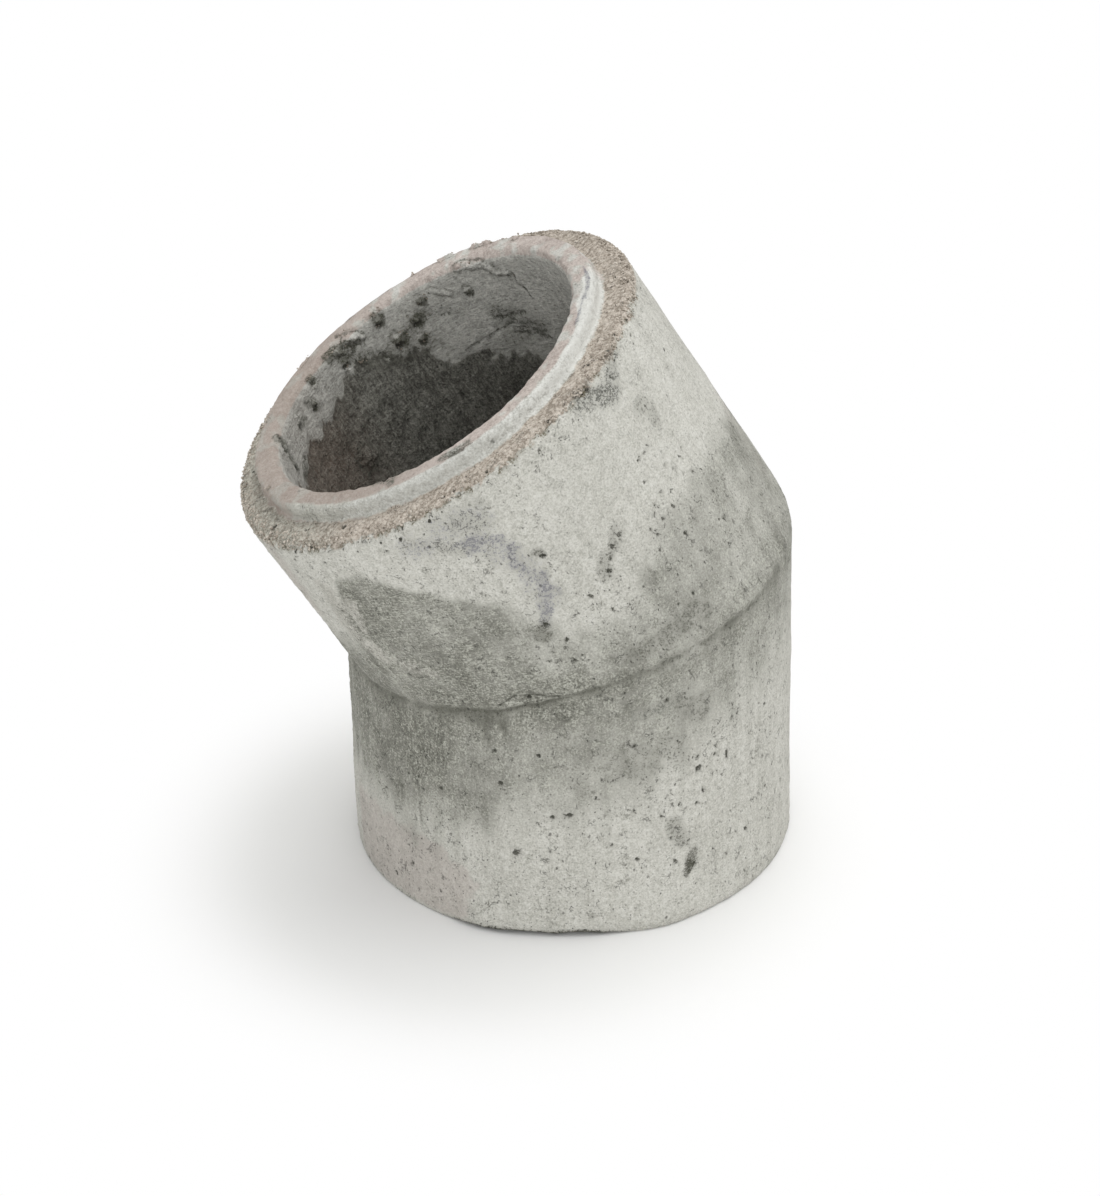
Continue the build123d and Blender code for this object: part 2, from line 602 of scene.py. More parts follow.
@dataclass
class CastBody:
    """The casting itself: one closed skin round the wall, rims, spigot and bore."""

    sizes: BendSizes
    marks: list[Mark]
    weathering: Weathering = Weathering()
    columns: int = 160
    wall_pitch: float = 2.8
    seam_pitch: float = 1.2
    seam_band: float = 7.0
    head_pitch: float = 1.35
    head_band: float = 6.0
    bore_pitch: float = 3.0
    deep_pitch: float = 8.0
    seen_depth: float = 100.0
    lip_width: float = 1.0
    margin: float = 1.6
    level: float = 0.01
    slack: float = 0.1

    def steps(self, start: float, end: float, pitch: float) -> list[float]:
        """Even steps from start up to, and without, end."""
        count = max(1, round(abs(end - start) / pitch))
        return [start + (end - start) * i / count for i in range(count)]

    def curve(self, centre: tuple[float, float], radius: float, turns: tuple[float, float]) -> list:
        """Points of a round corner of the section, without its last point.

        Args:
            centre: radius and height of the corner's centre.
            radius: size of the corner.
            turns: first and last angle in degrees.

        Returns:
            Radius and height of each point.
        """
        first, last = math.radians(turns[0]), math.radians(turns[1])
        angles = self.steps(first, last, self.head_pitch / radius)
        return [(centre[0] + radius * math.cos(a), centre[1] + radius * math.sin(a)) for a in angles]

    def section(self) -> list[tuple[float, float]]:
        """Closed outline of the straightened wall, as radius and height."""
        s = self.sizes
        seam_low, seam_high = s.foot_leg - self.seam_band, s.foot_leg + self.seam_band
        round_low = s.shoulder - s.shoulder_round
        head_low = round_low - self.head_band
        root = (s.flat_in, s.shoulder + s.spigot_round)
        crest = (s.spigot - s.spigot_round, s.top - s.spigot_round)
        lip = (s.bore + s.mouth_round, s.top - s.mouth_round)
        seen_low = s.top - self.seen_depth
        floor_high = s.socket_wall + s.socket_round
        socket_in = s.socket - s.socket_round
        cut_in, cut_up = 0.25 * s.foot_edge, 0.3 * s.foot_edge
        outline = [(s.outer - s.foot_edge, 0.0), (s.outer - cut_in, cut_up)]
        outline += [(s.outer, z) for z in self.steps(s.foot_edge, seam_low, self.wall_pitch)]
        outline += [(s.outer, z) for z in self.steps(seam_low, seam_high, self.seam_pitch)]
        outline += [(s.outer, z) for z in self.steps(seam_high, head_low, self.wall_pitch)]
        outline += [(s.outer, z) for z in self.steps(head_low, round_low, self.head_pitch)]
        outline += self.curve((s.flat_out, round_low), s.shoulder_round, (0, 90))
        outline += [(r, s.shoulder) for r in self.steps(s.flat_out, s.flat_in, self.head_pitch)]
        outline += self.curve(root, s.spigot_round, (270, 180))
        outline += [(s.spigot, z) for z in self.steps(root[1], crest[1], self.head_pitch)]
        outline += self.curve(crest, s.spigot_round, (0, 90))
        outline += [(r, s.top) for r in self.steps(crest[0], lip[0], self.head_pitch)]
        outline += self.curve(lip, s.mouth_round, (90, 180))
        outline += [(s.bore, z) for z in self.steps(lip[1], seen_low, self.bore_pitch)]
        outline += [(s.bore, z) for z in self.steps(seen_low, floor_high, self.deep_pitch)]
        outline += [(r, floor_high) for r in self.steps(s.bore, socket_in, self.deep_pitch)]
        outline += self.curve((socket_in, s.socket_wall), s.socket_round, (90, 0))
        outline += [(s.socket, z) for z in self.steps(s.socket_wall, 0.0, self.deep_pitch)]
        outline += [(r, 0.0) for r in self.steps(s.socket, s.outer - s.foot_edge, self.deep_pitch)]
        return outline

    def halve_rings(self, bm: BMesh, wanted: Callable[[float, float], bool]) -> None:
        """Halves the edges that run round the axis, which doubles the columns there.

        Args:
            bm: the straight liner.
            wanted: tells from an end's radius and height whether an edge is one to halve.
        """
        rings = []
        for edge in bm.edges:
            radii = [v.co.xy.length for v in edge.verts]
            heights = [v.co.z for v in edge.verts]
            if abs(heights[0] - heights[1]) < self.level and abs(radii[0] - radii[1]) < self.slack:
                if all(map(wanted, radii, heights)):
                    rings.append(edge)
        bmesh.ops.subdivide_edges(bm, edges=rings, cuts=1, use_grid_fill=True)

    def spin(self) -> BMesh:
        """Spins the section to a straight liner, with more columns where it is seen close.

        Returns:
            A closed mesh in millimetres.
        """
        s = self.sizes
        bm = bmesh.new()
        ring = [bm.verts.new((r, 0.0, z)) for r, z in self.section()]
        for here, after in zip(ring, ring[1:] + ring[:1]):
            bm.edges.new((here, after))
        bmesh.ops.spin(
            bm,
            geom=bm.verts[:] + bm.edges[:],
            cent=(0, 0, 0),
            axis=(0, 0, 1),
            angle=math.tau,
            steps=self.columns,
            use_merge=True,
        )
        seen, wide = s.top - self.seen_depth, s.outer - s.foot_edge + self.slack
        self.halve_rings(bm, lambda radius, height: height > seen or radius > wide)
        low, high = s.shoulder - s.shoulder_round - self.head_band, s.top - s.mouth_round - self.slack
        inner = s.bore + self.lip_width
        self.halve_rings(bm, lambda radius, height: low < height < high and radius > inner)
        bmesh.ops.recalc_face_normals(bm, faces=bm.faces[:])
        return bm

    def refine(self, bm: BMesh) -> None:
        """Divides the faces round each hole and lump finely enough to hold its shape."""
        deep = [m for m in self.marks if m.trace in (Trace.PIT, Trace.LUMP, Trace.CRACK)]
        laid = self.sizes.lay(np.array([v.co for v in bm.verts]))
        bm.verts.index_update()
        close = np.zeros(len(laid), dtype=bool)
        for mark in deep:
            for centre in self.sizes.trail(mark):
                close |= ((laid - centre) ** 2).sum(axis=1) < (mark.radius + self.margin) ** 2
        edges = [e for e in bm.edges if close[e.verts[0].index] and close[e.verts[1].index]]
        bmesh.ops.subdivide_edges(bm, edges=edges, cuts=2, use_grid_fill=True)

    def build(self) -> bpy.types.Object:
        """Makes the finished casting.

        Returns:
            The object, with its masks and no material.
        """
        bm = self.spin()
        log.info("spun: %d faces", len(bm.faces))
        self.refine(bm)
        straight = np.array([v.co for v in bm.verts])
        fields = Fields.read(self.sizes, straight)
        self.move(bm, fields.laid)
        bm.normal_update()
        normals = np.array([v.normal for v in bm.verts])
        relief = Relief(self.sizes, self.weathering, self.marks, fields)
        shaped = fields.laid + normals * relief.depth()[:, None]
        shaped[:, 2] = np.maximum(shaped[:, 2] + relief.worn_foot(), 0.0)
        shaped[:, :2] *= 1.0 + relief.spread_foot()[:, None] / self.sizes.outer
        self.move(bm, shaped * MM)
        bm.normal_update()
        mesh = finished_mesh("cast_bend", bm)
        for name, values in relief.masks().items():
            layer = mesh.attributes.new(name, "FLOAT", "POINT")
            layer.data.foreach_set("value", values.astype(np.float32))
        liner = mesh.attributes.new("liner", "FLOAT_VECTOR", "POINT")
        liner.data.foreach_set("vector", (straight * MM).astype(np.float32).ravel())
        mesh.shade_smooth()
        return show("cast_bend", mesh)

    def move(self, bm: BMesh, points: Array) -> None:
        """Puts each vertex at its own row of points."""
        for vert, point in zip(bm.verts, points.tolist()):
            vert.co = point


@dataclass
class Fields:
    """Where each vertex is, on the straight liner and on the bent one."""

    radius: Array
    angle: Array
    height: Array
    laid: Array
    seam: Array
    leaning: Array
    outside: Array
    inside: Array
    head: Array
    run: Array

    @classmethod
    def read(cls, sizes: BendSizes, straight: Array) -> "Fields":
        """Works out every field from the straight liner's vertices.

        Args:
            sizes: sizes of the casting.
            straight: vertices in millimetres.

        Returns:
            The fields, one value or row for each vertex.
        """
        radius = np.hypot(straight[:, 0], straight[:, 1])
        angle = np.degrees(np.arctan2(straight[:, 1], straight[:, 0]))
        height = straight[:, 2]
        leaning = height > sizes.foot_leg
        laid = sizes.lay(straight)
        slack = 0.5
        round_low = sizes.shoulder - sizes.shoulder_round
        inside = (radius < sizes.bore + slack) & (height < sizes.top - sizes.mouth_round + slack)
        level = 0.01
        head = (height > round_low + level) & ~inside
        outside = (radius > sizes.outer - slack) & ~head
        laid = np.where((radius > sizes.spigot)[:, None], sizes.strike_heel(laid), laid)
        seam = sizes.seam_height(laid, leaning)
        flat = sizes.flat_out - sizes.flat_in
        bend = np.arctan2(radius - sizes.flat_out, np.maximum(height - round_low, 1e-6))
        arc = np.clip(bend, 0.0, math.pi / 2) * sizes.shoulder_round
        below = np.maximum(round_low - height, 0.0)
        rise = np.maximum(height - sizes.shoulder, 0.0)
        run = np.where(radius > sizes.flat_out, flat + arc + below, radius - sizes.flat_in - rise)
        nowhere = -99.0
        run = np.where(inside, nowhere, run)
        return cls(radius, angle, height, laid, seam, leaning, outside, inside, head, run)


@dataclass
class Relief:
    """Shape and masks of the casting's surface, worked out vertex by vertex."""

    sizes: BendSizes
    weathering: Weathering
    marks: list[Mark]
    fields: Fields
    spans: dict = field(default_factory=dict)

    def __post_init__(self) -> None:
        """Makes the noise that every mark's edge is broken up with."""
        self.uneven = cloud(self.fields.laid, 3.5, 17, 3)
        self.patchy = cloud(self.fields.laid, 9.0, 18, 3)

    def span(self, mark: Mark) -> Array:
        """Distance of each vertex from a mark's path, in millimetres."""
        if mark not in self.spans:
            nearest = np.full(len(self.fields.laid), np.inf)
            for centre in self.sizes.trail(mark):
                nearest = np.minimum(nearest, ((self.fields.laid - centre) ** 2).sum(axis=1))
            self.spans[mark] = np.sqrt(nearest).astype(np.float32)
        return self.spans[mark]

    def gather(self, trace: Trace, inner: float = 0.0, deep: bool = False) -> Array:
        """Strongest of all marks of one kind at each vertex.

        Args:
            trace: which kind.
            inner: share of the radius within which a mark keeps its full strength.
            deep: true for a depth in millimetres that grows with the mark's radius.

        Returns:
            Values from 0 to 1, or depths.
        """
        found = np.zeros(len(self.fields.laid))
        carved = trace in (Trace.PIT, Trace.LUMP, Trace.CRACK)
        ragged = 0.6 * self.uneven if carved else 0.45 * self.patchy
        widest = 9.0
        for mark in self.marks:
            if mark.trace is trace:
                amount = mark.strength * (mark.radius if deep else 1.0)
                span = self.span(mark) + ragged * min(mark.radius, widest)
                found = np.maximum(found, amount * smooth(mark.radius, mark.radius * inner, span))
        return found

    def shade_round_lumps(self) -> Array:
        """Ring of painted shade in the corner round each lump of mortar, 0 to 1."""
        found = np.zeros(len(self.fields.laid))
        for mark in self.marks:
            if mark.trace is Trace.LUMP:
                span = self.span(mark) / mark.radius + 0.4 * self.uneven
                found = np.maximum(found, mark.strength * smooth(1.6, 1.15, span) * smooth(0.7, 1.0, span))
        return np.clip(found, 0.0, 1.0)

    def rims(self) -> Array:
        """Height of the crumbly rims round the holes in the coat of the bore."""
        found = np.zeros(len(self.fields.laid))
        for mark in self.marks:
            if mark.trace is Trace.PIT and mark.place is Place.BORE:
                share = self.span(mark) / mark.radius + 0.5 * self.uneven
                rise = 0.4 * mark.radius * np.exp(-(((share - 1.35) / 0.35) ** 2))
                found = np.maximum(found, rise)
        return found

    def seam_shape(self) -> tuple[Array, Array]:
        """Lip and groove along the mitre.

        Returns:
            Height in millimetres and a mask of the dark line, 0 to 1.
        """
        f, w = self.fields, self.weathering
        wander = w.seam_wander.at(f.angle) + 1.3 * cloud(f.laid, 24.0, 40)
        above = f.seam - wander
        width = w.seam_width.at(f.angle)
        depth = w.seam_depth.at(f.angle) * np.clip(0.8 + 0.7 * cloud(f.laid, 22.0, 41), 0.1, 1.4)
        groove = np.exp(-((above / width) ** 2)) * depth
        lip = np.exp(-(((above - 2.6 * width) / (1.8 * width)) ** 2)) * depth
        soft = np.exp(-(((above + 1.2 * width) / (3.4 * width)) ** 2)) * depth
        line = np.clip(groove * 0.75 + soft * 0.4, 0.0, 1.0) * f.outside
        crumbs = 0.55 * np.exp(-((above / 7.0) ** 2)) * cloud(f.laid, 4.0, 47, 2)
        return (0.6 * lip - 0.9 * groove - 0.35 * soft + crumbs) * f.outside, line

    def sand(self) -> Array:
        """Where the shoulder shows open sandy grain, 0 to 1."""
        f = self.fields
        ragged = 3.6 * cloud(f.laid, 11.0, 7) + 2.4 * cloud(f.laid, 3.4, 8, 2)
        outer = smooth(2.2, -2.2, f.run + ragged - self.weathering.sand_reach.at(f.angle))
        inner = smooth(-2.6, 0.6, f.run + 0.5 * ragged)
        return outer * inner * (f.head | f.outside)

    def bitten(self) -> Array:
        """Crumbled spots where the sandy shoulder breaks off at the moulded wall, 0 to 1."""
        f = self.fields
        reach = self.weathering.sand_reach.at(f.angle)
        band = np.exp(-(((f.run - reach - 0.5) / 2.6) ** 2))
        return band * smooth(-0.1, 0.3, cloud(f.laid, 5.0, 26, 3)) * (f.head | f.outside)

    def coat(self, soft: float = 3.0) -> Array:
        """Where the bore is coated with trowelled mortar, 0 to 1, with an edge soft mm wide each way."""
        f = self.fields
        depth = self.sizes.top - f.height
        slanted = f.laid @ np.array(((1.0, 0.0, -0.7), (0.0, 1.0, 0.0), (0.3, 0.3, 0.5)))
        ragged = 9.0 * cloud(f.laid, 30.0, 10) + 7.0 * cloud(slanted, 9.0, 11)
        ragged += 2.5 * cloud(f.laid, 3.0, 45, 2)
        return smooth(soft, -soft, depth + ragged - self.weathering.coat_depth.at(f.angle)) * f.inside

    def wall(self, sand: Array) -> Array:
        """Height of the moulded outside: slow waves, fine grain, scabs, and its crumbled foot."""
        f = self.fields
        waves = 0.55 * cloud(f.laid, 75.0, 1) + 0.25 * cloud(f.laid, 20.0, 2)
        scabs = smooth(0.28, 0.42, cloud(f.laid, 17.0, 20, 4)) * smooth(-0.1, 0.3, cloud(f.laid, 60.0, 21))
        foot = smooth(8.0, 0.5, f.height) * (0.4 + 1.1 * np.maximum(cloud(f.laid, 11.0, 16), -0.3))
        foot += 0.8 * smooth(0.3, 0.6, cloud(f.laid, 7.0, 19)) * smooth(7.0, 1.0, f.height)
        moulded = waves + 0.13 * cloud(f.laid, 5.5, 3, 2) - 0.3 * scabs
        moulded += 0.4 * cloud(f.laid, 4.0, 46, 2) * smooth(146.0, 166.0, np.abs(f.angle))
        return (moulded * (1.0 - sand) - foot) * f.outside

    def worn_foot(self) -> Array:
        """How far the foot's outer edge is worn up off the floor, in millimetres."""
        f, s = self.fields, self.sizes
        low = smooth(9.0, 0.0, f.height) * smooth(s.socket + 4.0, s.outer - s.foot_edge, f.radius)
        return self.front() * low * (2.4 + 1.2 * cloud(f.laid, 16.0, 29))

    def front(self) -> Array:
        """Share of the wear at the front of the standing leg, 0 to 1."""
        f = self.fields
        turned = smooth(-142.0, -122.0, f.angle) * smooth(-84.0, -98.0, f.angle)
        return turned * (f.height < self.sizes.foot_leg)

    def spread_foot(self) -> Array:
        """How far the green casting sagged outwards at its foot, either side of the worn front."""
        f, s = self.fields, self.sizes
        left = 3.0 * np.exp(-(((f.angle + 124.0) / 10.0) ** 2))
        right = 2.2 * np.exp(-(((f.angle + 77.0) / 9.0) ** 2))
        skin = smooth(s.socket + 4.0, s.outer - s.foot_edge, f.radius)
        return (left + right) * smooth(40.0, 0.0, f.height) * skin * (f.height < s.foot_leg)

    def shoulder(self, sand: Array) -> Array:
        """Height of the open grain on the shoulder, which crumbles towards its outer edge."""
        f = self.fields
        packed = 1.3 * (stones(f.laid, 3.4, 22) - 0.5)
        crumbly = packed + 0.5 * cloud(f.laid, 2.8, 5, 2) + 0.6 * cloud(f.laid, 9.0, 23) - 0.3
        reach = self.weathering.sand_reach.at(f.angle)
        rough = (0.55 + 0.45 * smooth(16.0, 21.0, reach)) * (0.3 + 0.7 * smooth(0.25, 0.7, f.run / reach))
        worn = 0.8 + 0.7 * np.maximum(cloud(f.laid, 26.0, 6), -0.5)
        edge = smooth(3.0, 14.0, f.run) * smooth(22.0, 16.0, f.run)
        return sand * rough * crumbly - worn * edge * f.head - 0.9 * self.bitten()

    def spigot(self, sand: Array) -> Array:
        """Height of the spigot, struck by trowel: rounded outside and scalloped at the mouth."""
        f, s = self.fields, self.sizes
        high = s.top - f.height
        waves = 0.4 * cloud(f.laid, 26.0, 9) + 0.16 * cloud(f.laid, 5.0, 4, 2)
        crest = smooth(s.spigot - 8.0, s.spigot - 1.0, f.radius) * smooth(5.0, 0.0, high)
        mouth = smooth(s.bore + 6.0, s.bore + 1.0, f.radius) * smooth(9.0, 2.0, high)
        shape = waves - crest * (0.7 + 0.7 * cloud(f.laid, 18.0, 24))
        scallops = 0.8 * cloud(f.laid, 5.5, 25, 2) - 0.2
        return (shape + mouth * scallops) * f.head * (1.0 - sand)

    def bore(self, coat: Array) -> Array:
        """Height of the bore: raw lumpy concrete, with a trowelled coat over its upper end."""
        f = self.fields
        raw = 1.1 * cloud(f.laid, 10.0, 12) + 0.7 * (stones(f.laid, 5.0, 13) - 0.5) - 0.4
        trowelled = 0.7 + 0.5 * cloud(f.laid, 36.0, 14) + 0.3 * cloud(f.laid, 7.0, 15)
        scabs = 0.7 * smooth(0.2, 0.5, cloud(f.laid, 6.0, 27, 3))
        scabs *= smooth(0.0, 0.4, cloud(f.laid, 30.0, 28))
        return (coat * (trowelled + scabs) + (1.0 - coat) * raw) * f.inside

    def depth(self) -> Array:
        """How far each vertex stands out from the smooth form, in millimetres."""
        f = self.fields
        sand, coat = self.sand(), self.coat(5.0)
        total = self.wall(sand) + self.seam_shape()[0] + self.shoulder(sand)
        total += self.spigot(sand) + self.bore(coat)
        crumbly = np.maximum(0.85 + 1.1 * self.uneven, 0.15)
        total += 0.8 * self.gather(Trace.LUMP, 0.2, deep=True) * crumbly + self.rims()
        total += 1.0 * self.gather(Trace.RIDGE, 0.1)
        total -= self.gather(Trace.SCUFF) * (0.2 + 0.9 * np.abs(self.uneven))
        total -= 1.1 * self.gather(Trace.CRACK)
        return total - self.gather(Trace.PIT, 0.25, deep=True)

    def damp(self) -> Array:
        """How dark the concrete is with damp, in a band above and below the mitre, 0 to 1."""
        f, s, w = self.fields, self.sizes, self.weathering
        broad = cloud(f.laid, 42.0, 30)
        ragged = cloud(f.laid, 15.0, 31)
        reach = (f.laid - s.mitre) @ s.up
        edge = w.damp_top.at(f.angle) + 4.0 * broad + 5.0 * ragged
        fade = 4.0 + 8.0 * smooth(-114.0, -96.0, f.angle) + 9.0 * smooth(-141.0, -153.0, f.angle)
        wet = (0.12 + 0.34 * np.exp(-(((f.angle + 102.0) / 16.0) ** 2))) * np.exp(-((f.seam / 21.0) ** 2))
        mottled = wet + 0.18 * broad + 0.1 * ragged
        above = smooth(fade, -fade, reach - edge) * (w.damp_top_level.at(f.angle) + mottled)
        drips = cloud(f.laid * (1.0, 1.0, 0.16), 10.0, 32)
        low = w.damp_foot.at(f.angle) + 10.0 * broad + 7.0 * ragged + 17.0 * drips
        below = smooth(-34.0, 34.0, f.laid[:, 2] - low) * (w.damp_foot_level.at(f.angle) + mottled)
        return np.clip(np.where(f.leaning, above, below), 0.0, 1.2) * f.outside

    def masks(self) -> dict[str, Array]:
        """Every mask that the finish reads, by its name."""
        f, s = self.fields, self.sizes
        sand, coat, damp = self.sand(), self.coat(), self.damp()
        ragged = cloud(f.laid, 12.0, 33)
        limed = f.radius - self.weathering.lime_inner.at(f.angle)
        flank = smooth(-1.4, 1.4, limed + 1.4 * ragged)
        flank *= smooth(0.6, -2.4, f.run + 1.5 * ragged)
        facing = smooth(-165.0, -145.0, f.angle) * smooth(4.0, -12.0, f.angle)
        flank *= f.head * (1.0 - sand) * facing
        lime = flank * smooth(-150.0, -108.0, f.angle)
        damp += 0.45 * flank * smooth(-95.0, -125.0, f.angle)
        inner = f.inside * smooth(15.0, 2.0, s.top - f.height + 3.0 * ragged)
        throat = damp * smooth(-85.0, -112.0, f.angle) * f.leaning
        struck = f.head * (1.0 - sand) * (1.0 - flank) * (f.run < 0.5)
        mottled = smooth(0.0, 0.5, cloud(f.laid, 13.0, 34))
        reach = (f.laid - s.mitre) @ s.up + 12.0 * ragged
        clean = smooth(-90.0, -72.0, f.angle) * smooth(8.0, -14.0, f.angle)
        clean *= smooth(40.0, 72.0, reach) * smooth(150.0, 128.0, reach) * f.outside * f.leaning
        side = -128.0 - 13.0 * smooth(42.0, 66.0, f.height)
        dust = smooth(side + 3.0, side - 5.0, f.angle + 5.0 * ragged) * smooth(-180.0, -172.0, f.angle)
        dust *= smooth(76.0, 52.0, f.height + 9.0 * ragged) * smooth(-4.0, 8.0, f.height) * f.outside
        return {
            "damp": damp,
            "strokes": np.maximum(throat, coat),
            "sand": sand,
            "trowel": np.maximum(struck * (1.0 - 0.75 * mottled), inner),
            "lime": np.maximum(lime, 0.7 * struck * mottled),
            # trowelled top darkened towards the throat side: painted shade
            "loam": struck * smooth(75.0, 140.0, np.abs(f.angle)),
            "clean": clean,
            "ash": sand * smooth(118.0, 150.0, np.abs(f.angle)) * 0.62,
            "coat": coat,
            "raw": (1.0 - coat) * f.inside,
            "earth": smooth(112.0, 150.0, np.abs(f.angle)) * f.inside * (1.0 - 0.6 * coat),
            "seam": self.seam_shape()[1],
            # the dark of the crumbled spots is partly painted shade in their hollows
            "bitten": self.bitten(),
            # dark insides of the holes: painted shade in them together with dirt
            "pit": self.gather(Trace.PIT, 0.45),
            # dark cracks, their darkness partly painted shade in the crack, and a painted contact shadow
            # along the worn front of the foot
            "crack": np.maximum(self.gather(Trace.CRACK, 0.3), self.front() * smooth(3.4, 1.2, f.height)),
            "ridge": self.gather(Trace.RIDGE, 0.3),
            # dirt marks, with the painted shade round each lump of mortar added in
            "dirt": np.maximum(self.gather(Trace.DIRT, 0.45), 0.8 * self.shade_round_lumps()),
            # grime marks, with the painted shade round each clod among them
            "grime": self.gather(Trace.GRIME_AND_SHADE, 0.5),
            "violet": self.gather(Trace.VIOLET, 0.3),
            "rose": np.maximum(self.gather(Trace.ROSE), 0.95 * dust),
            "chalk": lime * smooth(-95.0, -40.0, f.angle),
            "scuff": self.gather(Trace.SCUFF),
        }


@dataclass
class PumiceGrains:
    """Grains of pumice and crumbs of mortar, half sunk in the shoulder and the bore."""

    sizes: BendSizes
    weathering: Weathering
    marks: list[Mark]
    shoulder_count: int = 6000
    crumb_count: int = 22
    rim_crumb_count: int = 4
    widest_lump: float = 6.0
    rim_tone: float = 0.7
    clod_tone: float = 0.25
    smallest: float = 0.3
    largest: float = 1.05
    sunk: float = 0.7
    narrow: float = 15.5
    broad: float = 22.0
    thinnest: float = 0.4
    lump_spread: float = 0.7
    seed: int = 11

    def build(self) -> bpy.types.Object:
        """Sets the grains round the shoulder and on the lumps in the bore.

        Returns:
            The object, with a tone for each grain and no material.
        """
        pick = random.Random(self.seed)
        ball = bmesh.new()
        bmesh.ops.create_icosphere(ball, subdivisions=1, radius=1.0)
        bm = bmesh.new()
        tones: list[float] = []
        for _ in range(self.shoulder_count):
            turn = pick.uniform(-180.0, 180.0)
            reach = float(self.weathering.sand_reach.at(np.array([turn]))[0])
            crowded = (reach - self.narrow) / (self.broad - self.narrow)
            if pick.random() > self.thinnest + (1.0 - self.thinnest) * crowded:
                continue
            run = reach * (0.25 + 0.78 * pick.random() ** 0.6)
            size = self.smallest + (self.largest - self.smallest) * pick.random() ** 2.8
            size *= 0.7 + 0.3 * reach / self.broad
            tones += self.grain(bm, ball, pick, self.on_shoulder(turn, run), size)
        for mark in self.marks:
            if mark.trace is Trace.LUMP and mark.radius < self.widest_lump:
                spread = mark.radius * self.lump_spread
                rim = mark.place is Place.TOP
                count = self.rim_crumb_count if rim else self.crumb_count
                tone = self.rim_tone if rim else self.clod_tone
                for _ in range(count):
                    angle, along = pick.choice(mark.path)
                    angle += math.degrees(pick.gauss(0.0, spread) / self.sizes.bore)
                    spot = self.sizes.spot(mark.place, angle, along + pick.gauss(0.0, spread))
                    tones += self.grain(bm, ball, pick, spot, pick.uniform(0.35, 0.9), tone)
        ball.free()
        bmesh.ops.recalc_face_normals(bm, faces=bm.faces[:])
        mesh = finished_mesh("pumice_grains", bm)
        layer = mesh.attributes.new("tone", "FLOAT", "POINT")
        layer.data.foreach_set("value", tones)
        mesh.shade_smooth()
        return show("pumice_grains", mesh)

    def grain(
        self, bm: BMesh, ball: BMesh, pick: random.Random, spot: Array, size: float, tone: float = 1.0
    ) -> list[float]:
        """Adds one grain, an uneven little stone.

        Args:
            bm: mesh in metres.
            ball: ball of radius one, the shape before it is made uneven.
            pick: seeded source of numbers.
            spot: its middle in millimetres.
            size: its mean radius in millimetres.
            tone: palest tone that it may have, from 0 for dark to 1 for pale.

        Returns:
            The grain's tone, once for each of its vertices.
        """
        shape = Vector((pick.uniform(0.75, 1.3), pick.uniform(0.75, 1.3), pick.uniform(0.6, 1.0)))
        axis = Vector((pick.uniform(-1, 1), pick.uniform(-1, 1), pick.uniform(-1, 1)))
        spin = Quaternion(axis.normalized(), pick.uniform(0.0, math.tau))
        move = Matrix.LocRotScale(Vector(spot) * MM, spin, shape * size * MM)
        corners = [bm.verts.new(move @ vert.co) for vert in ball.verts]
        for face in ball.faces:
            bm.faces.new([corners[vert.index] for vert in face.verts])
        return [pick.uniform(0.0, tone)] * len(corners)

    def on_shoulder(self, turn: float, run: float) -> Array:
        """Place of one grain on the shoulder, just under its surface.

        Args:
            turn: degrees round the leaning leg.
            run: distance over the shoulder from the spigot's root.

        Returns:
            The place in millimetres.
        """
        s = self.sizes
        flat = s.flat_out - s.flat_in
        arc = s.shoulder_round * math.pi / 2
        if run < flat:
            radius, height = s.flat_in + run, s.head_leg
        elif run < flat + arc:
            bend = (run - flat) / s.shoulder_round
            radius = s.flat_out + s.shoulder_round * math.sin(bend)
            height = s.head_leg - s.shoulder_round * (1.0 - math.cos(bend))
        else:
            radius, height = s.outer, s.head_leg - s.shoulder_round - (run - flat - arc)
        return s.on_leg(turn, radius - self.sunk, height - self.sunk)


@dataclass(frozen=True)
class Tint:
    """Dark, middle and light colour of one kind of surface, as sRGB hex."""

    dark: str
    middle: str
    light: str

    def stops(self) -> tuple[tuple[float, str], ...]:
        """The three colours, each with its position on a scale from 0 to 1."""
        return (0.15, self.dark), (0.5, self.middle), (0.85, self.light)


@dataclass(frozen=True)
class Layer:
    """One kind of surface, laid where its painted mask is, with its edge eaten by grain."""

    mask: str
    tint: Tint
    bite: float
    soft: float


@dataclass(frozen=True)
class Stain:
    """One colour over the skin, partly an even smear and partly fine flecks."""

    mask: str
    shade: str
    even: float
    flecked: float


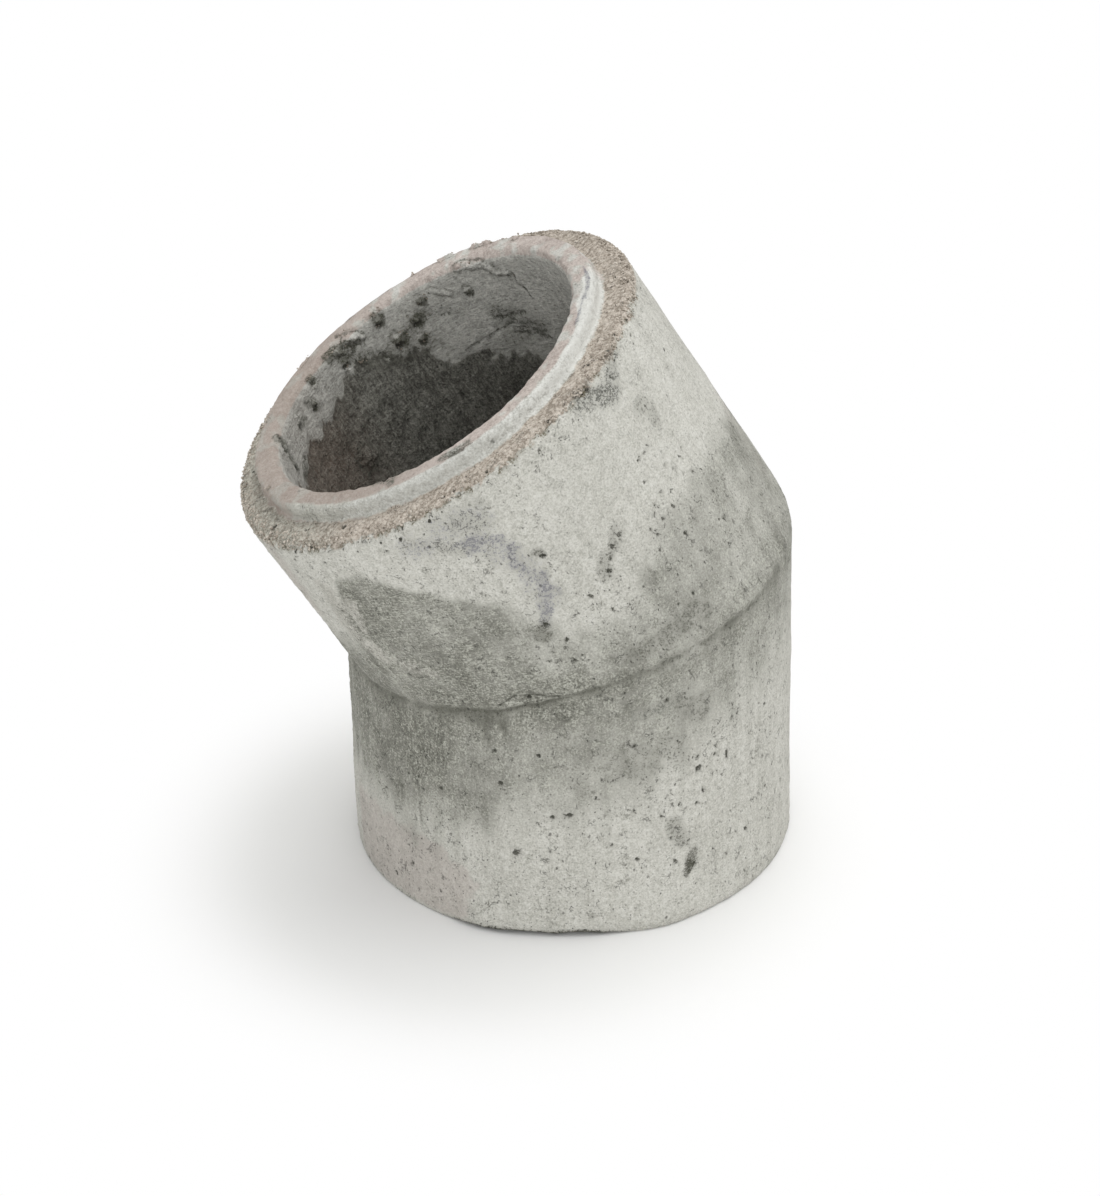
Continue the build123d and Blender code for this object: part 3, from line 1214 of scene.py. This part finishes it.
@dataclass(frozen=True)
class PumiceConcrete:
    """Cement-bound pumice, cast in a steel mould and stripped while green.

    The mould leaves a thin skin of cement, pale grey and full of small open pores. Where the skin is
    missing, on the shoulder, the sandy brown aggregate shows. It is quite matt, and damp turns it dark.
    """

    skin: Tint = Tint("#ABAAA2", "#C1C0B8", "#D2D1CA")
    layers: tuple[Layer, ...] = (
        Layer("clean", Tint("#ADACA4", "#C2C1B9", "#D1D0C9"), 1.0, 0.5),
        Layer("rose", Tint("#A9A49D", "#B9B4AD", "#C8C4BD"), 0.6, 0.3),
        Layer("damp", Tint("#54544C", "#86867D", "#B6B6AC"), 0.9, 0.5),
        Layer("ridge", Tint("#9B9A91", "#B3B1A9", "#C8C6BE"), 0.8, 0.45),
        Layer("lime", Tint("#A3A29C", "#BEBEB8", "#D2D3CE"), 1.3, 0.4),
        Layer("trowel", Tint("#978C85", "#B3A9A2", "#C7BEB7"), 0.9, 0.4),
        Layer("sand", Tint("#90877B", "#BAB0A4", "#D0C8BD"), 1.1, 0.35),
        Layer("ash", Tint("#88877D", "#AAA99E", "#C0BFB4"), 1.0, 0.5),
        Layer("coat", Tint("#8F8E88", "#AFAEA8", "#C8C7C0"), 1.5, 0.35),
        Layer("raw", Tint("#4B4A44", "#6E6D66", "#8F8E86"), 1.5, 0.35),
    )
    stains: tuple[Stain, ...] = (
        Stain("chalk", "#DDDDD8", 0.5, 0.0),
        # painted shade over the throat side of the trowelled top
        Stain("loam", "#8B8075", 0.42, 0.2),
        Stain("violet", "#727279", 0.42, 0.5),
        Stain("scuff", "#5B5C56", 0.25, 0.75),
        Stain("seam", "#5E5E55", 0.66, 0.34),
        # bitten stain: partly painted shade in the crumbled hollows, partly the crumbs' own olive colour
        Stain("bitten", "#67624F", 0.3, 0.7),
        # dirt stain, which also lays the painted shade round the lumps and in the holes among the bore's
        # crumbs
        Stain("dirt", "#5B5B52", 0.42, 0.55),
        # grime stain, which also lays the painted shade round the clods
        Stain("grime", "#45453A", 0.7, 0.3),
        # crack stain: partly painted shade in the cracks, and the painted contact shadow under the worn
        # front of the foot
        Stain("crack", "#47473F", 0.9, 0.1),
        # pit stain: painted shade in the holes together with dirt
        Stain("pit", "#4C4C44", 0.9, 0.1),
    )
    stain_bite: float = 1.6
    stain_soft: float = 0.42
    open_grain: tuple[str, ...] = ("sand", "ash")
    # pore colour darkens the open pores and hairline tears: painted shade inside them
    pore: str = "#3C3C36"
    peck: str = "#6C6C63"
    earth: str = "#6E5C50"
    pore_sizes: tuple[Point, ...] = (
        (1.7, 0.22, 0.46),
        (3.8, 0.35, 0.8),
        (7.5, 0.5, 1.2),
        (17.0, 0.8, 1.8),
    )
    pore_luck: float = 0.6
    smears: tuple[str, ...] = ("trowel", "lime", "coat", "rose")
    least_paint: float = 0.25
    contrast: float = 0.42
    grain_size: float = 1.15
    brush_size: float = 1.0
    streak_size: float = 1.7
    speck_size: float = 3.4
    drip_size: float = 9.0
    blotch_size: float = 17.0
    cloud_size: float = 45.0
    packed_size: float = 2.2
    peck_size: float = 1.4
    peck_crowd: float = 11.0
    pore_crowd: float = 30.0
    thread_size: float = 4.2
    fleck_size: float = 1.7
    hairline_size: float = 5.0
    hairline_break: float = 7.5
    warp_size: float = 2.2
    warp_reach: float = 1.8
    roughness: float = 0.92
    ior: float = 1.5
    specular: float = 0.25

    def mask(self, node: Node, name: str, ragged: Socket, bite: float, soft: float) -> Socket:
        """A painted mask with its edge broken up by grain.

        Args:
            node: adds a node.
            name: the mask's attribute.
            ragged: noise about 0 that eats into the edge.
            bite: how far the noise moves the edge.
            soft: width of the edge, 0 to 0.5.

        Returns:
            The mask, 0 to 1.
        """
        painted = node("Attribute", out="Fac", attribute_name=name)
        moved = node("Math", ragged, bite, painted, operation="MULTIPLY_ADD")
        edge = node("MapRange", moved, 0.5 - soft, 0.5 + soft, interpolation_type="SMOOTHSTEP")
        near = node("MapRange", painted, 0.0, self.least_paint)
        return node("Math", edge, near, operation="MULTIPLY")

    def noise(self, node: Node, place: Socket, size_mm: float, detail: float = 3.0) -> Socket:
        """Noise about 0, with lumps size_mm apart."""
        links = {"Vector": place, "Scale": per_mm(size_mm), "Detail": detail, "Roughness": 0.6}
        return node("Math", node("TexNoise", links), 0.5, operation="SUBTRACT")

    def summed(self, node: Node, total: Socket, *parts: tuple[Socket, float | Socket]) -> Socket:
        """Total with each part added to it, times the part's own share."""
        for part, share in parts:
            total = node("Math", part, share, total, operation="MULTIPLY_ADD")
        return total

    def highest(self, node: Node, first: Socket, *others: Socket) -> Socket:
        """Highest of several values."""
        for other in others:
            first = node("Math", first, other, operation="MAXIMUM")
        return first

    def pores(self, node: Node, place: Socket) -> Socket:
        """Open pores in the skin, up to 1 in a pore: many under a millimetre, some of two or three."""
        found = []
        thick = self.noise(node, place, self.pore_crowd)
        for pitch, small, large in self.pore_sizes:
            cell = node("TexVoronoi", {"Vector": place, "Scale": per_mm(pitch)}, out="Color")
            parts = node("SeparateColor", cell).node.outputs
            luck = self.summed(node, parts[0], (thick, 1.6))
            there = node("Math", luck, self.pore_luck, operation="GREATER_THAN")
            size = node("MapRange", parts[1], 0.0, 1.0, small / pitch, large / pitch)
            full = node("Math", size, 0.4, operation="MULTIPLY")
            hole = node("MapRange", cell.node.outputs["Distance"], size, full)
            shade = node("MapRange", parts[2], 0.0, 1.0, 0.35, 1.0)
            shaded = node("Math", hole, shade, operation="MULTIPLY")
            found.append(node("Math", shaded, there, operation="MULTIPLY"))
        return self.highest(node, *found)

    def calm(self, node: Node) -> Socket:
        """How much grain shows: all of it on the moulded skin, less where mortar was smeared on."""
        smears = [node("Attribute", out="Fac", attribute_name=name) for name in self.smears]
        return node("MapRange", self.highest(node, *smears), 0.0, 1.0, 1.0, 0.68)

    def aggregate(self, node: Node, place: Socket, value: Socket) -> Socket:
        """Tone of packed grains, each with its own shade, with the gaps between them darkened as painted
        shade.

        Args:
            node: adds a node.
            place: coordinates.
            value: tone of the plain skin, of which a part stays.

        Returns:
            The tone, from 0 for dark to 1 for light.
        """
        cell = node("TexVoronoi", {"Vector": place, "Scale": per_mm(self.packed_size)}, out="Color")
        gap_shade = node("MapRange", cell.node.outputs["Distance"], 0.35, 0.8)
        kept = node("Math", value, 0.75, operation="MULTIPLY")
        return self.summed(node, kept, (node("SeparateColor", cell), 0.38), (gap_shade, -0.3))

    def pecks(self, node: Node, place: Socket) -> Socket:
        """Fine dark specks that crowd together in places and where it is damp, up to 1 in a speck."""
        damp = node("Attribute", out="Fac", attribute_name="damp")
        fine = self.noise(node, place, self.peck_size, 2.0)
        dense = self.noise(node, place, self.peck_crowd)
        crowd = self.summed(node, fine, (damp, 0.09), (dense, 1.1))
        return node("MapRange", crowd, 0.17, 0.3)

    def flecks(self, node: Node, place: Socket) -> Socket:
        """Pattern of a stain that has dried in the grain: crooked threads and a few specks, 0 to 1."""
        wave = node("Math", self.noise(node, place, self.thread_size), operation="ABSOLUTE")
        thread = node("MapRange", wave, 0.06, 0.0)
        specks = node("MapRange", self.noise(node, place, self.fleck_size), 0.04, 0.16)
        return self.highest(node, thread, specks)

    def hairlines(self, node: Node, place: Socket) -> Socket:
        """Short crooked hairlines where the skin tore as the mould was drawn, up to 1 on a line."""
        wave = node("Math", self.noise(node, place, self.hairline_size, 2.0), operation="ABSOLUTE")
        line = node("MapRange", wave, 0.028, 0.006)
        broken = node("MapRange", self.noise(node, place, self.hairline_break), 0.07, 0.14)
        return node("Math", line, broken, operation="MULTIPLY")

    def crumpled(self, node: Node, liner: Socket) -> Socket:
        """Coordinates for the pores, drawn out upwards and bent so that no pore is round."""
        drawn = node("VectorMath", liner, (1.0, 1.0, 0.65), operation="MULTIPLY")
        links = {"Vector": liner, "Scale": per_mm(self.warp_size), "Detail": 2.0}
        warp = node("TexNoise", links, out="Color")
        even = node("VectorMath", warp, (0.5, 0.5, 0.5), operation="SUBTRACT")
        nudge = node("VectorMath", even, (self.warp_reach * MM,) * 3, operation="MULTIPLY")
        return node("VectorMath", drawn, nudge, operation="ADD")

    def height(self, node: Node, skin: tuple, drawn: tuple, pores: Socket, masks: dict) -> Socket:
        """Fine relief in millimetres: grain of the skin, strokes, coarser grain on bare spots, and pores.

        Args:
            node: adds a node.
            skin: finest noise and coarser noise.
            drawn: brush strokes and streaks.
            pores: up to 1 in an open pore.
            masks: masks by name.

        Returns:
            The height.
        """
        grain, speck = skin
        strokes, streaks = drawn
        rough = self.highest(node, masks["sand"], masks["raw"])
        coarse = node("MapRange", rough, 0.0, 1.0, 1.3, 2.6)
        fine = node("Math", grain, 0.9, operation="MULTIPLY")
        return self.summed(node, fine, (speck, coarse), (strokes, 0.5), (streaks, 0.6), (pores, -0.9))

    def build(self) -> bpy.types.Material:
        """Builds the finish of the casting.

        Returns:
            The material, which reads Object coordinates and the painted masks.
        """
        material = bpy.data.materials.new("pumice_concrete")
        node = fresh_nodes(material)
        place = node("TexCoord", out="Object")
        liner = node("Attribute", out="Vector", attribute_name="liner")
        level, upright, dripping = (
            node("VectorMath", liner, pressed, operation="MULTIPLY")
            for pressed in ((0.22, 0.22, 1.0), (1.0, 1.0, 0.22), (1.0, 1.0, 0.1))
        )
        strokes, raw, browned = (
            node("Attribute", out="Fac", attribute_name=name) for name in ("strokes", "raw", "earth")
        )
        finest = self.noise(node, place, self.grain_size, 2.0)
        grain = node("Math", finest, self.calm(node), operation="MULTIPLY")
        speck = self.noise(node, place, self.speck_size, 4.0)
        dripped = self.noise(node, dripping, self.drip_size, 2.0)
        streak = self.noise(node, upright, self.streak_size, 2.0)
        blotch = self.noise(node, place, self.blotch_size, 4.0)
        cloudy = self.noise(node, place, self.cloud_size, 5.0)
        brush = self.noise(node, level, self.brush_size, 2.0)
        brushed = node("Math", brush, strokes, operation="MULTIPLY")
        drawn = node("Math", streak, raw, operation="MULTIPLY")

        parts = (speck, 0.85), (cloudy, 0.5), (brushed, 0.9), (streak, 0.25), (drawn, 0.7), (dripped, 0.35)
        both = self.summed(node, node("Math", grain, 1.35, operation="MULTIPLY"), *parts)
        value = node("MapRange", both, -self.contrast, self.contrast)
        ragged = self.summed(node, speck, (blotch, 0.7), (grain, 0.7))

        colour = graded(node, value, self.skin.stops())
        crumpled = self.crumpled(node, liner)
        packed = self.aggregate(node, crumpled, value)
        masks = {}
        laid = []
        for layer in self.layers:
            masks[layer.mask] = self.mask(node, layer.mask, ragged, layer.bite, layer.soft)
            tone = packed if layer.mask in self.open_grain else value
            laid.append((masks[layer.mask], graded(node, tone, layer.tint.stops())))
        laid.append((node("Math", browned, 0.45, operation="MULTIPLY"), linear(self.earth)))
        flecks = self.flecks(node, place)
        frayed = self.summed(node, speck, (grain, 1.3))
        for stain in self.stains:
            there = self.mask(node, stain.mask, frayed, self.stain_bite, self.stain_soft)
            share = node("Math", flecks, stain.flecked, stain.even, operation="MULTIPLY_ADD")
            laid.append((node("Math", share, there, operation="MULTIPLY"), linear(stain.shade)))

        closed = node("Math", masks["trowel"], masks["lime"], operation="ADD")
        closed = node("Math", closed, masks["coat"], operation="ADD")
        closed = self.summed(node, closed, (masks["clean"], 0.6))
        bare = node("MapRange", closed, 0.0, 1.0, 1.0, 0.12)
        torn = node("Math", self.hairlines(node, place), 0.6, operation="MULTIPLY")
        open_pores = self.highest(node, self.pores(node, crumpled), torn)
        pores = node("Math", open_pores, bare, operation="MULTIPLY")
        pecks = node("Math", self.pecks(node, place), bare, operation="MULTIPLY")
        # pecks are specks of the skin's own colour; the pore colour is painted shade inside the pores and
        # tears
        for there, share, shade in ((pecks, 0.55, self.peck), (pores, 0.9, self.pore)):
            laid.append((node("Math", there, share, operation="MULTIPLY"), linear(shade)))
        for share, over in laid:
            colour = node("Mix", {0: share, 6: colour, 7: over}, out=2, data_type="RGBA")

        height = self.height(node, (grain, speck), (brushed, drawn), pores, masks)
        links = {
            "Base Color": colour,
            "Roughness": self.roughness,
            "IOR": self.ior,
            "Specular IOR Level": self.specular,
            "Normal": node("Bump", {"Strength": 1.0, "Distance": MM, "Height": height}),
        }
        node("OutputMaterial", node("BsdfPrincipled", links))
        return material


@dataclass(frozen=True)
class GrainFinish:
    """Single grains of pumice and sand, from dark glassy brown to pale, with dust on them."""

    shades: tuple[str, ...] = ("#6A6258", "#8F867A", "#AAA195", "#C2BAAF")
    roughness: float = 0.9
    dust_size: float = 1.2
    dust_share: float = 0.4
    bump_depth: float = 0.3 * MM

    def build(self) -> bpy.types.Material:
        """Builds the finish, which reads each grain's own tone.

        Returns:
            The material.
        """
        material = bpy.data.materials.new("pumice_grain")
        node = fresh_nodes(material)
        tone = node("Attribute", out="Fac", attribute_name="tone")
        place = node("TexCoord", out="Object")
        dust = node("TexNoise", {"Vector": place, "Scale": per_mm(self.dust_size), "Detail": 2.0})
        mixed = node("Math", dust, self.dust_share, tone, operation="MULTIPLY_ADD")
        last = len(self.shades) - 1
        links = {
            "Base Color": graded(node, mixed, [(i / last, shade) for i, shade in enumerate(self.shades)]),
            "Roughness": self.roughness,
            "Normal": node("Bump", {"Strength": 1.0, "Distance": self.bump_depth, "Height": dust}),
        }
        node("OutputMaterial", node("BsdfPrincipled", links))
        return material


@dataclass(frozen=True)
class Studio:
    """Pale floor, soft lamps and the camera, in metres."""

    floor_size: float = 12.0
    floor_shade: str = "#EBEBEA"
    shadow_middle: Point = (-0.04, -0.03, 0.0)
    shadow_inner: float = 0.15
    shadow_outer: float = 0.26
    ambient: float = 0.745
    key_power: float = 1.25
    key_spread: float = math.radians(50)
    key_from: Point = (0.3, 0.22, 1.3)
    fill_power: float = 0.78
    fill_spread: float = math.radians(70)
    fill_from: Point = (0.0, -1.2, 0.8)
    camera_place: Point = (-0.3628, -1.9301, 1.2680)
    camera_aim: Point = (-0.0112, 0.0, 0.1565)
    camera_roll: float = math.radians(-1.516)
    lens: float = 112.82
    sensor: float = 36.0
    farthest: float = 50.0
    white: tuple[float, float, float, float] = (1.0, 1.0, 1.0, 1.0)

    def floor(self) -> bpy.types.Object:
        """Plain floor that keeps the soft shadow near the foot and shows the camera white beside it."""
        bm = bmesh.new()
        bmesh.ops.create_grid(bm, x_segments=1, y_segments=1, size=self.floor_size / 2)
        piece = show("floor", finished_mesh("floor", bm))
        material = bpy.data.materials.new("floor_paper")
        node = fresh_nodes(material)
        matt = node("BsdfDiffuse", linear(self.floor_shade))
        place = node("TexCoord", out="Object")
        away = node("VectorMath", place, self.shadow_middle, out="Value", operation="DISTANCE")
        inner, outer = self.shadow_inner, self.shadow_outer
        clear = node("MapRange", away, inner, outer, interpolation_type="SMOOTHSTEP")
        share = node("Math", node("LightPath", out="Is Camera Ray"), clear, operation="MULTIPLY")
        node("OutputMaterial", node("MixShader", share, matt, node("Emission", self.white, 1.0)))
        piece.data.materials.append(material)
        return piece

    def world(self) -> None:
        """Even light from all round, with a white background for the camera."""
        world = bpy.data.worlds.new("studio")
        node = fresh_nodes(world)
        seen = node("LightPath", out="Is Camera Ray")
        rays = seen.node.outputs
        for ray in ("Is Glossy Ray", "Is Transmission Ray"):
            seen = node("Math", seen, rays[ray], operation="MAXIMUM")
        level = node("MapRange", seen, 0.0, 1.0, self.ambient, 1.0)
        node("OutputWorld", node("Background", self.white, level))
        bpy.context.scene.world = world

    def lamp(self, name: str, source: Point, spread: float, power: float) -> None:
        """One wide soft lamp, far away, so that it lights the whole floor alike.

        Args:
            name: the lamp's name.
            source: direction that its light comes from.
            spread: angle over which it is spread, in radians.
            power: its strength.
        """
        data = bpy.data.lights.new(name, "SUN")
        data.angle = spread
        data.energy = power
        piece = show(name, data)
        piece.rotation_euler = Vector(source).to_track_quat("Z", "Y").to_euler()
        piece.location = source

    def camera(self) -> None:
        """Camera at the photograph's viewing angle."""
        data = bpy.data.cameras.new("camera")
        data.sensor_width = self.sensor
        data.lens = self.lens
        data.clip_end = self.farthest
        piece = show("camera", data)
        look = Vector(self.camera_aim) - Vector(self.camera_place)
        turn = look.to_track_quat("-Z", "Y") @ Quaternion((0.0, 0.0, 1.0), self.camera_roll)
        piece.rotation_mode = "QUATERNION"
        piece.rotation_quaternion = turn
        piece.location = self.camera_place
        bpy.context.scene.camera = piece

    def build(self) -> bpy.types.Object:
        """Sets up the whole studio and returns its floor."""
        self.world()
        self.lamp("key", self.key_from, self.key_spread, self.key_power)
        self.lamp("fill", self.fill_from, self.fill_spread, self.fill_power)
        self.camera()
        bpy.context.scene.view_settings.view_transform = "Standard"
        return self.floor()


def marked(trace: Trace, place: Place, *strokes: tuple) -> list[Mark]:
    """Marks of one kind on one surface.

    Args:
        trace: what they are.
        place: which surface.
        strokes: radius, strength and one or more points of each.

    Returns:
        One mark for each stroke.
    """
    return [Mark(trace, place, tuple(path), radius, strength) for radius, strength, *path in strokes]


def known_marks() -> list[Mark]:
    """Marks that the real casting shows, each at its own place."""
    standing, leaning, shoulder = Place.STANDING, Place.LEANING, Place.SHOULDER
    bore, top, flank = Place.BORE, Place.TOP, Place.FLANK
    return [
        *marked(
            Trace.PIT,
            leaning,
            (2.0, 1.0, (-110, 17)), (2.2, 1.0, (-86, 95)), (1.6, 0.8, (-73, 66)), (2.2, 0.9, (-75, 61)),
            (1.6, 1.0, (-71, 71)), (1.6, 1.0, (-82, 54)), (1.7, 1.0, (-95, 56)), (1.6, 1.0, (-68, 74)),
            (1.7, 1.0, (-139, 154)), (1.5, 1.0, (-112, 147)), (1.5, 1.0, (-45, 146)),
            (1.5, 1.0, (-50, 155)), (1.6, 1.0, (-33, 156)), (1.4, 1.0, (-27, 153)), (1.4, 1.0, (-80, 156)),
            (1.4, 1.0, (-90, 156)), (1.5, 1.0, (-159, 155)),
        ),
        *marked(
            Trace.PIT,
            standing,
            (1.7, 1.0, (-116, 57), (-115, 58)), (1.7, 1.0, (-119, 105)), (1.5, 1.0, (-109, 126)),
            (1.7, 1.0, (-102, 86)), (1.5, 1.0, (-106, 85)), (1.9, 1.0, (-68, 79)), (1.8, 1.0, (-67, 102)),
            (1.5, 1.0, (-66, 86)), (1.5, 1.0, (-78, 77)), (1.3, 1.0, (-58, 106), (-58, 101)),
            (1.4, 1.0, (-51, 14)), (1.7, 0.7, (-147, 28)), (1.7, 1.0, (-76, 154)),
        ),
        *marked(
            Trace.PIT,
            shoulder,
            (1.9, 1.0, (-129, 121)), (2.2, 1.0, (-34, 131)), (1.8, 1.0, (-71, 133)), (1.5, 1.0, (-46, 122)),
            (1.6, 1.0, (-85, 129)), (1.6, 1.0, (-37, 134)), (1.8, 1.0, (-11, 132)), (1.8, 1.0, (17, 133)),
        ),
        *marked(
            Trace.PIT,
            flank,
            (1.7, 0.5, (-79, 6)),
        ),
        *marked(
            Trace.PIT,
            top,
            (2.2, 0.5, (-91, 111), (-87, 112)), (1.8, 0.5, (-115, 101), (-113, 104)),
            (2.4, 0.6, (113, 105)),
        ),
        *marked(
            Trace.PIT,
            bore,
            (1.8, 0.7, (105, 26), (104, 31)), (2.2, 0.8, (163, 4), (167, 10)), (2.6, 1.0, (168, 22)),
            (1.9, 1.0, (149, 15)), (1.8, 1.0, (158, 28)),
        ),
        *marked(
            Trace.CRACK,
            bore,
            (1.1, 0.6, (46, 18), (47, 25), (45, 28), (45, 35)), (1.2, 0.7, (80, 27), (77, 28)),
            (2.0, 0.6, (63, 44), (57, 45), (52, 46)), (1.5, 0.55, (80, 56), (68, 53), (59, 51)),
            (2.0, 0.6, (61, 58), (54, 62), (48, 68)), (1.4, 0.5, (66, 49), (57, 56), (49, 63)),
        ),
        *marked(
            Trace.CRACK,
            leaning,
            (1.0, 0.6, (-118, 18), (-113, 21), (-109, 18), (-103, 9)),
        ),
        *marked(
            Trace.LUMP,
            bore,
            (2.2, 1.0, (78, 9), (76, 12), (73, 16)),
            (2.8, 1.0, (65, 3), (62, 2), (59, 5), (55, 6), (53, 9), (52, 13), (48, 15)),
            (2.4, 1.0, (139, 11), (137, 16)), (2.0, 1.0, (148, 9)), (4.0, 1.0, (112, 4), (108, 8)),
            (3.0, 1.0, (118, 5), (114, 11)), (2.4, 0.8, (132, 9)), (3.0, 0.7, (160, 12)),
            (8.0, 0.7, (132, 69)),
        ),
        # The first four strokes are the dark holes among the crumb clusters on the throat side of the bore:
        # painted shade in the holes, with dirt.
        *marked(
            Trace.DIRT,
            bore,
            (5.0, 1.0, (164, 1), (165, 9), (166, 18), (168, 23)), (4.0, 0.9, (158, 29), (167, 31)),
            (4.5, 0.9, (139, 11), (137, 18)), (4.0, 0.9, (145, 15), (149, 15)),
            (7.0, 0.7, (116, 12), (106, 28), (96, 28), (86, 20)),
            (12.0, 0.45, (60, 40), (52, 55), (62, 60)), (9.0, 0.6, (104, 32), (96, 34), (88, 38)),
        ),
        *marked(
            Trace.LUMP,
            top,
            (1.6, 1.0, (152, 111)), (1.3, 1.0, (129, 112), (124, 113)), (1.5, 1.0, (82, 113)),
            (2.0, 1.0, (72, 112), (68, 113)), (2.4, 1.0, (60, 113), (54, 113)), (2.0, 1.0, (43, 112)),
            (1.8, 1.0, (-168, 112)),
        ),
        *marked(
            Trace.DIRT,
            top,
            (2.2, 1.0, (107, 113), (100, 114), (91, 113)), (4.4, 1.2, (-93, 109), (-89, 110), (-85, 111)),
            (4.2, 0.95, (-117, 102), (-111, 106)),
        ),
        *marked(
            Trace.RIDGE,
            leaning,
            (11.0, 0.85, (-144, 120), (-145, 106), (-147, 90), (-146, 78), (-143, 68)),
            (7.0, 0.62, (-146, 84), (-143, 70), (-138, 60), (-130, 52)),
            (8.0, 0.9, (-139, 110), (-141, 92)),
        ),
        *marked(
            Trace.DIRT,
            standing,
            (7.5, 0.62, (-75, 68), (-72, 56)), (4.5, 1.0, (-69, 47), (-70, 40)),
            (5.0, 1.1, (-70, 38), (-71, 33)), (18.0, 0.3, (-88, 117), (-76, 121)),
            (7.0, 0.65, (-127, 147), (-120, 150)), (3.0, 0.7, (-123, 145), (-122, 134)),
            (3.0, 0.7, (-118, 150), (-117, 140)), (11.0, 0.34, (-72, 150), (-66, 142)),
        ),
        *marked(
            Trace.DIRT,
            leaning,
            (9.0, 0.5, (-82, 6), (-72, 4), (-62, 0)), (5.0, 0.55, (-70, 72), (-72, 69)),
            (7.0, 0.55, (-75, 67), (-76, 61)), (7.0, 0.45, (-41, 104), (-40, 112), (-43, 118)),
            (5.0, 0.45, (-105, 134), (-101, 124)), (8.0, 0.4, (-98, 140), (-94, 136)),
            (6.0, 0.8, (-96, 56), (-97, 50)), (3.5, 0.9, (-86, 97), (-87, 100)),
            (3.5, 0.5, (-68, 80), (-71, 72)),
        ),
        *marked(
            Trace.SCUFF,
            standing,
            (8.0, 0.45, (-84, 149), (-77, 152), (-71, 155)),
        ),
        *marked(
            Trace.VIOLET,
            leaning,
            (12.0, 0.42, (-95, 120), (-91, 98), (-91, 70)), (4.0, 0.9, (-102, 129), (-98, 127), (-95, 124)),
            (3.4, 0.8, (-95, 124), (-91, 117), (-90, 109)), (5.0, 1.05, (-91, 110), (-92, 104), (-92, 98)),
            (3.2, 0.8, (-92, 98), (-91, 91), (-89, 84)), (4.2, 0.95, (-89, 84), (-89, 78), (-88, 70)),
            (6.0, 0.8, (-90, 74), (-92, 66), (-95, 58)), (8.0, 0.7, (-99, 124)),
            (16.0, 0.34, (-102, 142), (-94, 138)), (12.0, 0.45, (-112, 140), (-108, 136)),
        ),
        *marked(
            Trace.SCUFF,
            leaning,
            (13.0, 1.25, (-55, 153), (-48, 141)), (8.0, 0.8, (-40, 152), (-44, 146)),
        ),
        *marked(
            Trace.ROSE,
            leaning,
            (32.0, 0.6, (-8, 4), (-6, 40)), (26.0, 0.7, (-160, 140), (-162, 100)),
        ),
        *marked(
            Trace.VIOLET,
            top,
            (1.6, 1.0, (-2, 111), (-11, 112), (-22, 110), (-33, 110)),
        ),
        # dark olive crumb clusters in the upper bore, their darkness partly painted shade on the crumbs'
        # shaded sides
        *marked(
            Trace.GRIME_AND_SHADE,
            bore,
            (5.0, 0.8, (121, 4), (114, 6), (109, 8)), (4.0, 0.7, (112, 11), (118, 8)),
        ),
        *marked(
            Trace.GRIME_AND_SHADE,
            standing,
            (4.0, 0.85, (-70, 37), (-71, 33)),
        ),
        *marked(
            Trace.SCUFF,
            bore,
            (9.0, 0.8, (62, 42), (56, 52), (50, 60)), (9.0, 0.6, (82, 22), (76, 30)),
        ),
    ]


def clods() -> list[Mark]:
    """Clods of mortar stuck in the bore, each with a hollow below it and a dark ring round it that is grime
    and painted shade together.
    """
    bore = Place.BORE
    found = []
    heel_side = (66, 19, 2.8), (83, 11, 3.0), (88, 20, 4.0), (97, 25, 4.6), (90, 33, 3.0), (99, 6, 4.0)
    throat_side = (117, 13, 3.2), (132, 4, 2.4), (138, 15, 2.2), (112, 20, 1.8)
    for angle, depth, radius in heel_side + throat_side:
        found.append(Mark(Trace.LUMP, bore, ((angle, depth),), radius))
        found.append(Mark(Trace.PIT, bore, ((angle + 1, depth + 1.1 * radius),), 0.7 * radius, 0.7))
        # dark ring round the clod: grime and painted shade of the clod
        found.append(Mark(Trace.GRIME_AND_SHADE, bore, ((angle, depth + 0.5 * radius),), 1.5 * radius, 0.95))
    return found


def strewn_marks(seed: int = 5) -> list[Mark]:
    """Small open pores, strewn over the outside as thickly as on the real casting."""
    pick = random.Random(seed)
    patches = (
        Patch(Place.STANDING, (-96, -42), (28, 135), 34),
        Patch(Place.STANDING, (-160, -124), (60, 100), 8),
        Patch(Place.STANDING, (-180, 180), (4, 150), 60),
        Patch(Place.LEANING, (-62, -36), (55, 100), 26),
        Patch(Place.LEANING, (-102, -78), (25, 50), 10, (1.0, 1.8)),
        Patch(Place.LEANING, (-180, 180), (10, 140), 44),
        Patch(Place.SHOULDER, (-180, 180), (120, 131), 26, (1.0, 2.2)),
        Patch(Place.LEANING, (-175, 20), (143, 157), 60, (0.7, 1.5)),
    )
    return [mark for patch in patches for mark in patch.strew(pick)]


def main() -> None:
    """Builds the pieces in order and reports each."""
    logging.basicConfig(level=logging.INFO, format="%(asctime)s %(name)s: %(message)s")
    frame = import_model()
    sizes = BendSizes.from_frame(frame)
    log.info("sizes %s", sizes)
    Studio().build()

    marks = known_marks() + clods() + strewn_marks()
    body = CastBody(sizes, marks).build()
    body.data.materials.append(PumiceConcrete().build())
    grains = PumiceGrains(sizes, Weathering(), marks).build()
    grains.data.materials.append(GrainFinish().build())
    for piece in (body, grains):
        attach(piece, BODY)
        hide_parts(NODE)
        piece.data.calc_loop_triangles()
        log.info("%s: %d triangles", piece.name, len(piece.data.loop_triangles))


if __name__ == "__main__":
    main()
